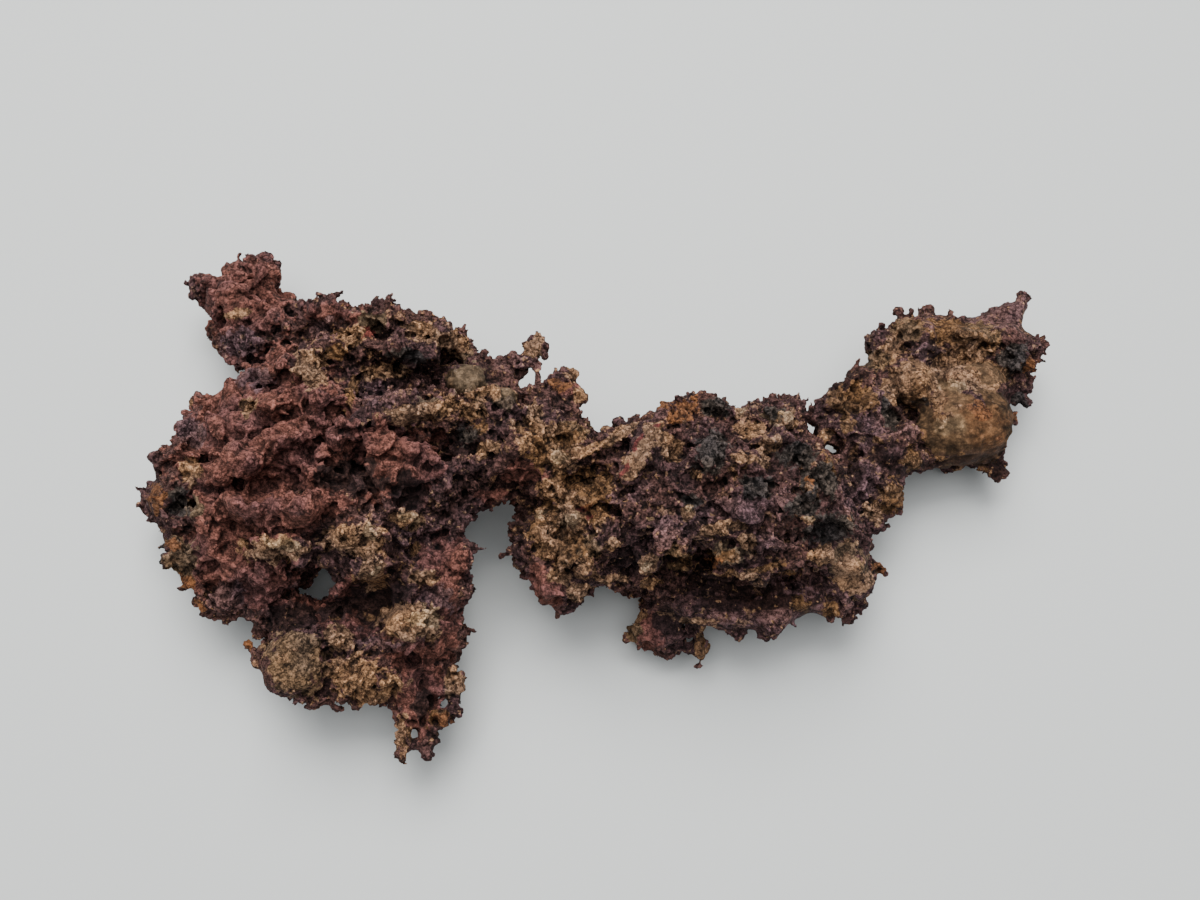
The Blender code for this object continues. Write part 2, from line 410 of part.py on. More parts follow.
def table_cutter():
    """A block under the table's top, which trims the feet flat."""
    mesh = bmesh.new()
    size = Vector(TABLE_CUTTER) * MM
    under = Matrix.Translation((0, 0, -size.z / 2)) @ Matrix.Diagonal((*size, 1))
    bmesh.ops.create_cube(mesh, size=1, matrix=under)
    obj = object_of(mesh, "table_cutter")
    hide_cutter(obj)
    return obj


def knob_texture():
    """Rounded cells, for the knobs of the hackly skin."""
    texture = bpy.data.textures.new("knobs", "VORONOI")
    texture.noise_scale = KNOB_SIZE
    texture.distance_metric = "DISTANCE"
    return texture


def grit_texture():
    """Small clouds, for the grit of the skin."""
    texture = bpy.data.textures.new("grit", "CLOUDS")
    texture.noise_scale = GRIT_SIZE
    texture.noise_depth = 2
    return texture


def roughen(obj, texture, strength, middle):
    """Moves the skin along its normals by the texture; a negative strength sinks its bright parts."""
    displace = obj.modifiers.new(texture.name, "DISPLACE")
    displace.texture = texture
    displace.texture_coords = "GLOBAL"
    displace.strength = strength
    displace.mid_level = middle


def triangles_now(obj):
    """How many triangles the object has as evaluated."""
    graph = bpy.context.evaluated_depsgraph_get()
    evaluated = obj.evaluated_get(graph)
    data = evaluated.to_mesh()
    data.calc_loop_triangles()
    count = len(data.loop_triangles)
    evaluated.to_mesh_clear()
    return count


def thin_out(obj):
    """Brings the skin down to the triangles that its main forms need."""
    ratio = MOST_TRIANGLES / triangles_now(obj)
    decimate = obj.modifiers.new("thin out", "DECIMATE")
    decimate.decimate_type = "COLLAPSE"
    decimate.ratio = ratio


def settle(obj):
    """Makes the modified skin the object's own, over the origin and without thinning's crumbs."""
    graph = bpy.context.evaluated_depsgraph_get()
    skin = bpy.data.meshes.new_from_object(obj.evaluated_get(graph))
    mesh = bmesh.new()
    mesh.from_mesh(skin)
    bmesh.ops.dissolve_degenerate(mesh, dist=CRUMB_EDGE, edges=mesh.edges)
    bmesh.ops.triangulate(mesh, faces=mesh.faces)
    folded = [edge for edge in mesh.edges if len(edge.link_faces) != 2]
    touched = {face for edge in folded for face in edge.link_faces}
    bmesh.ops.delete(mesh, geom=list(touched), context="FACES")
    bmesh.ops.holes_fill(mesh, edges=[edge for edge in mesh.edges if len(edge.link_faces) == 1])
    bmesh.ops.triangulate(mesh, faces=mesh.faces)
    bmesh.ops.delete(mesh, geom=crumbs(mesh), context="VERTS")
    bmesh.ops.translate(mesh, verts=mesh.verts, vec=-middle_of(mesh))
    mesh.to_mesh(skin)
    mesh.free()
    obj.modifiers.clear()
    obj.data = skin


def middle_of(mesh):
    """The middle of the bounding box, on the table."""
    across = [vert.co.x for vert in mesh.verts]
    along = [vert.co.y for vert in mesh.verts]
    return Vector((min(across) + max(across), min(along) + max(along), 0)) / 2


def crumbs(mesh):
    """The vertices of every shell but the largest."""
    waiting = set(mesh.verts)
    shells = []
    while waiting:
        shell = {waiting.pop()}
        edge_of_shell = list(shell)
        while edge_of_shell:
            vert = edge_of_shell.pop()
            near = {edge.other_vert(vert) for edge in vert.link_edges} & waiting
            waiting -= near
            shell |= near
            edge_of_shell.extend(near)
        shells.append(shell)
    shells.sort(key=len)
    return [vert for shell in shells[:-1] for vert in shell]


def copper_material():
    """Dull cuprite brown over copper."""
    material = bpy.data.materials.new("cuprite_brown")
    material.use_nodes = True
    shader = material.node_tree.nodes["Principled BSDF"]
    shader.inputs["Base Color"].default_value = (0.16, 0.07, 0.055, 1)
    shader.inputs["Roughness"].default_value = 0.8
    shader.inputs["Metallic"].default_value = 0.1
    return material


def copper_nugget():
    """The whole nugget, as one solid."""
    mesh = bmesh.new()
    for outline, height, rise_across, rise_up, thickness in SLABS:
        add_slab(mesh, outline, height, rise_across, rise_up, thickness, SLAB_WAVE)
    for outline, height, rise_across, rise_up, spread, radius in RIMS:
        add_rim(mesh, outline, height, rise_across, rise_up, spread, radius)
    for lump in WEST_LUMPS + BRIDGE_LUMPS + MIDDLE_LUMPS + EAST_LUMPS + CORES + UNDER_LUMPS + FEET:
        add_lump(mesh, *lump)
    obj = object_of(mesh, "copper_nugget")
    obj.data.materials.append(copper_material())
    fuse(obj, "fuse the lumps", FUSE_VOXEL)
    cut(obj, pit_cutter(), "pits")
    roughen(obj, knob_texture(), -KNOB_RISE, KNOB_SHARE_ABOVE)
    roughen(obj, grit_texture(), GRIT_RISE, 0.5)
    fuse(obj, "mend the skin", MEND_VOXEL)
    thin_out(obj)
    settle(obj)
    cut(obj, table_cutter(), "trim the feet")
    return obj


def main():
    """Clears the scene and builds the nugget."""
    for obj in list(bpy.data.objects):
        bpy.data.objects.remove(obj)
    copper_nugget()


main()
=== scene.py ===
"""The looks of a native copper nugget: a hackly, crusted chain of three masses lying on a pale table.

The CAD solid gives the forms. Its skin is rebuilt here at half a millimetre: lumps, blocks, ledges,
clefts and grains are raised on it, stones, limbs, sprigs and crumbs are grown on it, and the whole is
fused again. The colours are listed patches, each given by its place in the plan that an eye
above and a little in front of the nugget sees. Noise breaks them up, and the relief darkens them in
its hollows as painted shade and lightens them a little on its knobs as painted light.
"""

import json
import logging
import math
from dataclasses import dataclass
from enum import Enum

import bmesh
import bpy
import numpy as np
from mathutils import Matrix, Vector

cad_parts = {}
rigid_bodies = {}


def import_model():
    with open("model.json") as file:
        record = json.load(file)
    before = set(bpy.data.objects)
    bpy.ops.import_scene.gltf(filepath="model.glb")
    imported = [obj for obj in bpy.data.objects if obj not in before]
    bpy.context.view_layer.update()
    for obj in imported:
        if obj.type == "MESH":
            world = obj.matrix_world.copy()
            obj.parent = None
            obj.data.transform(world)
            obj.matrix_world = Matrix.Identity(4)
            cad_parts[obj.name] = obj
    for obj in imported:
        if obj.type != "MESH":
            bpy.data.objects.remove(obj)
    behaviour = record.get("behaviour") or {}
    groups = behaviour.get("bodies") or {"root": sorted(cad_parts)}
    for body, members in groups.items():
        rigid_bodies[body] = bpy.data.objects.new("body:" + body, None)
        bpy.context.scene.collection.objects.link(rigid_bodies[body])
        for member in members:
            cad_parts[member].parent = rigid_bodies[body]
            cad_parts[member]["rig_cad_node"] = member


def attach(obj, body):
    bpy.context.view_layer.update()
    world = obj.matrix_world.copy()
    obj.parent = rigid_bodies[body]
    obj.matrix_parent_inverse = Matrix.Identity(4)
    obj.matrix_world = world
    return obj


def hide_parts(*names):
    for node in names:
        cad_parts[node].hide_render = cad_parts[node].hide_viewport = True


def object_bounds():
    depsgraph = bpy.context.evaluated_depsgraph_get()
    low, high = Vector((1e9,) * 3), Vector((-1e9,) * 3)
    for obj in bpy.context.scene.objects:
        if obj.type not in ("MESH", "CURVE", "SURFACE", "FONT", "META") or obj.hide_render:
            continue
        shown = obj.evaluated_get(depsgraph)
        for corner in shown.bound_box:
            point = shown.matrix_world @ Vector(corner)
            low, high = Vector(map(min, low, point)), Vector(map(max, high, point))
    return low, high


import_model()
CAD_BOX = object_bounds()

MM = 0.001
NODE = "copper_nugget"
LOG = logging.getLogger("nugget")


@dataclass(frozen=True)
class Eye:
    """Where the nugget is seen from while its patches are placed, in millimetres and degrees."""

    tilt: float = 22.0
    distance: float = 290.0
    centre: tuple[float, float, float] = (-1.26, 5.76, 28.0)
    plan_width: float = 300.0

    def up(self) -> np.ndarray:
        """The direction that the plan's up runs in."""
        return np.array([0.0, math.cos(math.radians(self.tilt)), math.sin(math.radians(self.tilt))])

    def back(self) -> np.ndarray:
        """The direction from the nugget to the eye."""
        return np.array([0.0, -math.sin(math.radians(self.tilt)), math.cos(math.radians(self.tilt))])

    def place(self) -> np.ndarray:
        """Where the eye is."""
        return np.array(self.centre) + self.back() * self.distance

    def plan_of(self, points: np.ndarray) -> np.ndarray:
        """Finds where points are seen in the plan.

        Args:
            points: Rows of x, y, z in millimetres.

        Returns:
            Rows of across and up, in millimetres at the plan's own distance.
        """
        ray = points - self.place()
        depth = -(ray @ self.back())
        across = ray[:, 0] * self.distance / depth
        up = (ray @ self.up()) * self.distance / depth
        return np.stack([across, up], axis=1)

    def at(self, plan: np.ndarray, height: np.ndarray) -> np.ndarray:
        """Finds the points over the table that are seen at places of the plan.

        Args:
            plan: Rows of across and up.
            height: The height of each point above the table.

        Returns:
            Rows of x, y, z in millimetres.
        """
        on_plan = np.array(self.centre) + plan[:, :1] * np.array([1.0, 0.0, 0.0]) + plan[:, 1:2] * self.up()
        eye = self.place()
        share = (eye[2] - height) / (eye[2] - on_plan[:, 2])
        return eye + (on_plan - eye) * share[:, None]


EYE = Eye()


# Noise, worked out for whole arrays of points.


def chance(cells: np.ndarray, seed: int) -> np.ndarray:
    """Gives each cell of a lattice its own number between 0 and 1, the same every time.

    Args:
        cells: Rows of three whole numbers.
        seed: Picks another set of numbers.

    Returns:
        One number for each row: the three numbers times large odd ones, mixed by shifts.
    """
    c = cells.astype(np.int64).astype(np.uint32)
    h = c[:, 0] * np.uint32(0x8DA6B343) ^ c[:, 1] * np.uint32(0xD8163841) ^ c[:, 2] * np.uint32(0xCB1AB31F)
    h = h ^ np.uint32((seed * 0x9E3779B1) & 0xFFFFFFFF)
    h = (h ^ (h >> np.uint32(16))) * np.uint32(0x7FEB352D)
    h = (h ^ (h >> np.uint32(15))) * np.uint32(0x846CA68B)
    h = h ^ (h >> np.uint32(16))
    return h.astype(np.float32) / np.float32(4294967296.0)


def clouds(points: np.ndarray, size: float, seed: int, octaves: int = 3) -> np.ndarray:
    """Soft noise: lattice numbers blended with a smooth step, summed over halving sizes.

    Args:
        points: Rows of x, y, z.
        size: The distance between the coarsest lattice points.
        seed: Picks another noise.
        octaves: How many sizes are summed, each half the last one's size and strength.

    Returns:
        One number for each point, mostly between -1 and 1.
    """
    total = np.zeros(len(points), dtype=np.float32)
    strength, full = 1.0, 0.0
    for octave in range(octaves):
        q = points / (size / 2**octave) + 17.3 * octave
        base = np.floor(q)
        part = (q - base).astype(np.float32)
        part = part * part * (3.0 - 2.0 * part)
        cell = base.astype(np.int64)
        value = np.zeros(len(points), dtype=np.float32)
        for corner in np.ndindex(2, 2, 2):
            near = np.prod(np.where(np.array(corner) == 1, part, 1.0 - part), axis=1)
            value += near * chance(cell + np.array(corner), seed + octave)
        total += strength * (2.0 * value - 1.0)
        full += strength * 0.6
        strength *= 0.5
    return total / full


def cells(points: np.ndarray, size: float, seed: int) -> tuple[np.ndarray, ...]:
    """Distances to scattered cell centres, one centre at a random place in each lattice cube.

    Args:
        points: Rows of x, y, z.
        size: The side of the lattice cubes.
        seed: Picks another scatter.

    Returns:
        The distance to the nearest centre and to the next one, in cube sides, a number between 0 and
        1 that belongs to the nearest centre, and the way from that centre as rows of x, y, z.
    """
    q = (points / size).astype(np.float32)
    base = np.floor(q).astype(np.int64)
    near = np.full(len(q), 9.0, dtype=np.float32)
    after = near.copy()
    tint = np.zeros(len(q), dtype=np.float32)
    way = np.zeros((len(q), 3), dtype=np.float32)
    for step in np.ndindex(3, 3, 3):
        cell = base + np.array(step) - 1
        own = chance(cell, seed)
        centre = cell + np.stack([own, chance(cell, seed + 1), chance(cell, seed + 2)], axis=1)
        offset = q - centre.astype(np.float32)
        away = (offset**2).sum(axis=1)
        closer = away < near
        after = np.where(closer, near, np.minimum(after, away))
        tint = np.where(closer, own, tint)
        way = np.where(closer[:, None], offset, way)
        near = np.where(closer, away, near)
    return np.sqrt(near), np.sqrt(after), tint, way


# A cell's own number, times these, leaves three remainders that look unrelated.
TILT_STEPS = np.array([97.3, 57.7, 31.1], dtype=np.float32)


def blocks(points: np.ndarray, size: float, seed: int, gap: float = 0.22) -> np.ndarray:
    """Broken blocks from about 0 to 1: each cell a facet, tilted its own way, with a crevice round it.

    Args:
        points: Rows of x, y, z.
        size: About the distance between blocks.
        seed: Picks another scatter.
        gap: How wide the crevices are, as a share of the size.

    Returns:
        One height for each point.
    """
    near, after, own, way = cells(points, size, seed)
    tilt = (own[:, None] * TILT_STEPS) % 1.0 - 0.5
    inside = ease(after - near, 0.0, gap)
    return inside * np.clip(0.45 + 0.4 * own + 1.1 * (way * tilt).sum(axis=1), 0.2, 1.2)


def ledges(points: np.ndarray, size: float, seed: int) -> np.ndarray:
    """Ragged ledges from about -1 to 1: a cloud's height in four flat treads with steep risers between.

    Args:
        points: Rows of x, y, z.
        size: About the width of the widest ledges.
        seed: Picks another cloud.

    Returns:
        One height for each point.
    """
    level = 2.0 * clouds(points, size, seed, 2)
    tread = np.floor(level)
    return (tread + ease(level - tread, 0.75, 1.0)) / 2.0


def ease(value: np.ndarray, low: float, high: float) -> np.ndarray:
    """A smooth step from 0 at low to 1 at high."""
    t = np.clip((value - low) / (high - low), 0.0, 1.0)
    return t * t * (3.0 - 2.0 * t)


# Meshes.


def mesh_object(name: str, points: np.ndarray, faces: np.ndarray) -> bpy.types.Object:
    """Makes an object of one mesh.

    Args:
        name: The object's name.
        points: Rows of x, y, z in millimetres.
        faces: Rows of corner numbers, all with as many corners.

    Returns:
        The new object, at the origin.
    """
    data = bpy.data.meshes.new(name)
    count, corners = faces.shape
    data.vertices.add(len(points))
    data.vertices.foreach_set("co", (points * MM).astype(np.float32).ravel())
    data.loops.add(count * corners)
    data.loops.foreach_set("vertex_index", faces.astype(np.int32).ravel())
    data.polygons.add(count)
    data.polygons.foreach_set("loop_start", np.arange(0, count * corners, corners, dtype=np.int32))
    data.update(calc_edges=True)
    obj = bpy.data.objects.new(name, data)
    bpy.context.scene.collection.objects.link(obj)
    return obj


def points_of(obj: bpy.types.Object) -> np.ndarray:
    """Reads an object's vertices.

    Args:
        obj: The object.

    Returns:
        Rows of x, y, z in millimetres.
    """
    flat = np.empty(len(obj.data.vertices) * 3, dtype=np.float32)
    obj.data.vertices.foreach_get("co", flat)
    return flat.reshape(-1, 3) / MM


def normals_of(obj: bpy.types.Object) -> np.ndarray:
    """Reads the directions that an object's vertices face.

    Args:
        obj: The object.

    Returns:
        Rows of x, y, z, each of length one.
    """
    flat = np.empty(len(obj.data.vertices) * 3, dtype=np.float32)
    obj.data.vertex_normals.foreach_get("vector", flat)
    return flat.reshape(-1, 3)


def put_points(obj: bpy.types.Object, points: np.ndarray) -> None:
    """Moves the object's vertices.

    Args:
        obj: The object.
        points: Its new vertices, in millimetres.
    """
    obj.data.vertices.foreach_set("co", (points * MM).astype(np.float32).ravel())
    obj.data.update()


def settle(obj: bpy.types.Object) -> None:
    """Makes an object's modified mesh its own.

    Args:
        obj: The object, whose modifiers are used up.
    """
    graph = bpy.context.evaluated_depsgraph_get()
    made = bpy.data.meshes.new_from_object(obj.evaluated_get(graph))
    old = obj.data
    obj.modifiers.clear()
    obj.data = made
    bpy.data.meshes.remove(old)


def fuse(obj: bpy.types.Object, voxel: float) -> None:
    """Makes one closed skin of all that overlaps in the object.

    Args:
        obj: The object.
        voxel: The skin's fineness in millimetres.
    """
    remesh = obj.modifiers.new("fuse", "REMESH")
    remesh.mode = "VOXEL"
    remesh.voxel_size = voxel * MM
    settle(obj)


def soften(obj: bpy.types.Object, rounds: int) -> None:
    """Smooths an object's facets away.

    Args:
        obj: The object.
        rounds: How often each point moves halfway to the middle of its neighbours.
    """
    smooth = obj.modifiers.new("soften", "SMOOTH")
    smooth.factor = 0.5
    smooth.iterations = rounds
    settle(obj)


def thin(obj: bpy.types.Object, most: int, where: np.ndarray | None = None) -> None:
    """Thins the object's mesh out where it is flattest.

    Args:
        obj: The object.
        most: How many triangles it may keep.
        where: For each vertex whether it may go, if not all may.
    """
    now = len(obj.data.loops) - 2 * len(obj.data.polygons)
    LOG.info("%s: %d triangles before thinning", obj.name, now)
    if now > most:
        decimate = obj.modifiers.new("thin", "DECIMATE")
        decimate.ratio = most / now
        if where is not None:
            group = obj.vertex_groups.new(name="thinned")
            group.add(np.flatnonzero(where).tolist(), 1.0, "REPLACE")
            decimate.vertex_group = group.name
        settle(obj)
        obj.vertex_groups.clear()


def drop_loose(obj: bpy.types.Object) -> bpy.types.Object:
    """Keeps the object's largest connected shell and drops the others.

    Args:
        obj: The object, all of whose faces have as many corners.

    Returns:
        A new object in its place: every point takes the lowest number that its edges lead to.
    """
    count = len(obj.data.vertices)
    ends = np.empty(len(obj.data.edges) * 2, dtype=np.int32)
    obj.data.edges.foreach_get("vertices", ends)
    first, last = ends.reshape(-1, 2).T
    shell = np.arange(count)
    while True:
        low = np.minimum(shell[first], shell[last])
        joined = shell.copy()
        np.minimum.at(joined, shell[first], low)
        np.minimum.at(joined, shell[last], low)
        joined = joined[joined]
        if np.array_equal(joined, shell):
            break
        shell = joined
    keep = shell == np.bincount(shell, minlength=count).argmax()
    corners = len(obj.data.polygons[0].vertices)
    faces = np.empty(len(obj.data.loops), dtype=np.int32)
    obj.data.loops.foreach_get("vertex_index", faces)
    faces = faces.reshape(-1, corners)
    number = np.cumsum(keep) - 1
    kept = mesh_object(obj.name, points_of(obj)[keep], number[faces[keep[faces[:, 0]]]])
    LOG.info("%s: dropped %d loose points of %d", obj.name, count - keep.sum(), count)
    bpy.data.objects.remove(obj)
    return kept


def join(into: bpy.types.Object, other: bpy.types.Object) -> None:
    """Adds one object's mesh to another's.

    Args:
        into: The object that takes the mesh.
        other: The object that gives it and is removed.
    """
    mesh = bmesh.new()
    mesh.from_mesh(into.data)
    mesh.from_mesh(other.data)
    mesh.to_mesh(into.data)
    mesh.free()
    bpy.data.objects.remove(other)


def ball(level: int) -> tuple[np.ndarray, np.ndarray]:
    """Makes a unit ball by splitting an icosahedron.

    Args:
        level: 1 for the icosahedron itself, and one more each time that its faces are split in four.

    Returns:
        Rows of x, y, z, and rows of three corner numbers.
    """
    mesh = bmesh.new()
    bmesh.ops.create_icosphere(mesh, subdivisions=level, radius=1.0)
    points = np.array([vert.co[:] for vert in mesh.verts])
    faces = np.array([[vert.index for vert in face.verts] for face in mesh.faces])
    mesh.free()
    return points, faces


def turns_to(directions: np.ndarray) -> np.ndarray:
    """Builds a frame for each direction.

    Args:
        directions: Rows of x, y, z.

    Returns:
        For each row a 3 by 3 array whose third column is the direction, and whose first two are
        square to it.
    """
    z = directions / np.linalg.norm(directions, axis=1, keepdims=True)
    side = np.where(np.abs(z[:, 2:3]) < 0.9, [[0.0, 0.0, 1.0]], [[1.0, 0.0, 0.0]])
    x = np.cross(side, z)
    x /= np.linalg.norm(x, axis=1, keepdims=True)
    return np.stack([x, np.cross(z, x), z], axis=2)


def lumps(
    name: str, centres: np.ndarray, radii: np.ndarray, turns: np.ndarray, level: int, square: float = 2.0
) -> bpy.types.Object:
    """Makes an ellipsoid at each centre: the unit ball times the radii, turned and moved there.

    Args:
        name: The object's name.
        centres: Rows of x, y, z in millimetres.
        radii: Rows of three radii.
        turns: A 3 by 3 turn for each lump.
        level: How many points they have.
        square: 2 for ellipsoids and more for rounded blocks.

    Returns:
        One object that holds them all.
    """
    points, faces = ball(level)
    points = points / (np.abs(points) ** square).sum(axis=1, keepdims=True) ** (1.0 / square)
    placed = np.einsum("nij,nkj->nki", turns, points[None] * radii[:, None, :]) + centres[:, None, :]
    every = faces[None] + (np.arange(len(centres)) * len(points))[:, None, None]
    return mesh_object(name, placed.reshape(-1, 3), every.reshape(-1, 3))


# What lies where. Places are across and up the plan, in millimetres, and turns are in degrees.


class Ground(Enum):
    """The kinds of ground that show on the nugget. The two darkest also carry painted shade."""

    BRICK = "brick"
    MAUVE = "mauve"
    UMBER_AND_SHADE = "umber_and_shade"
    TAN = "tan"
    CREAM = "cream"
    OCHRE = "ochre"
    OLIVE = "olive"
    GREY = "grey"
    BLACK = "black_and_shade"
    ORANGE = "orange"
    RED = "red"


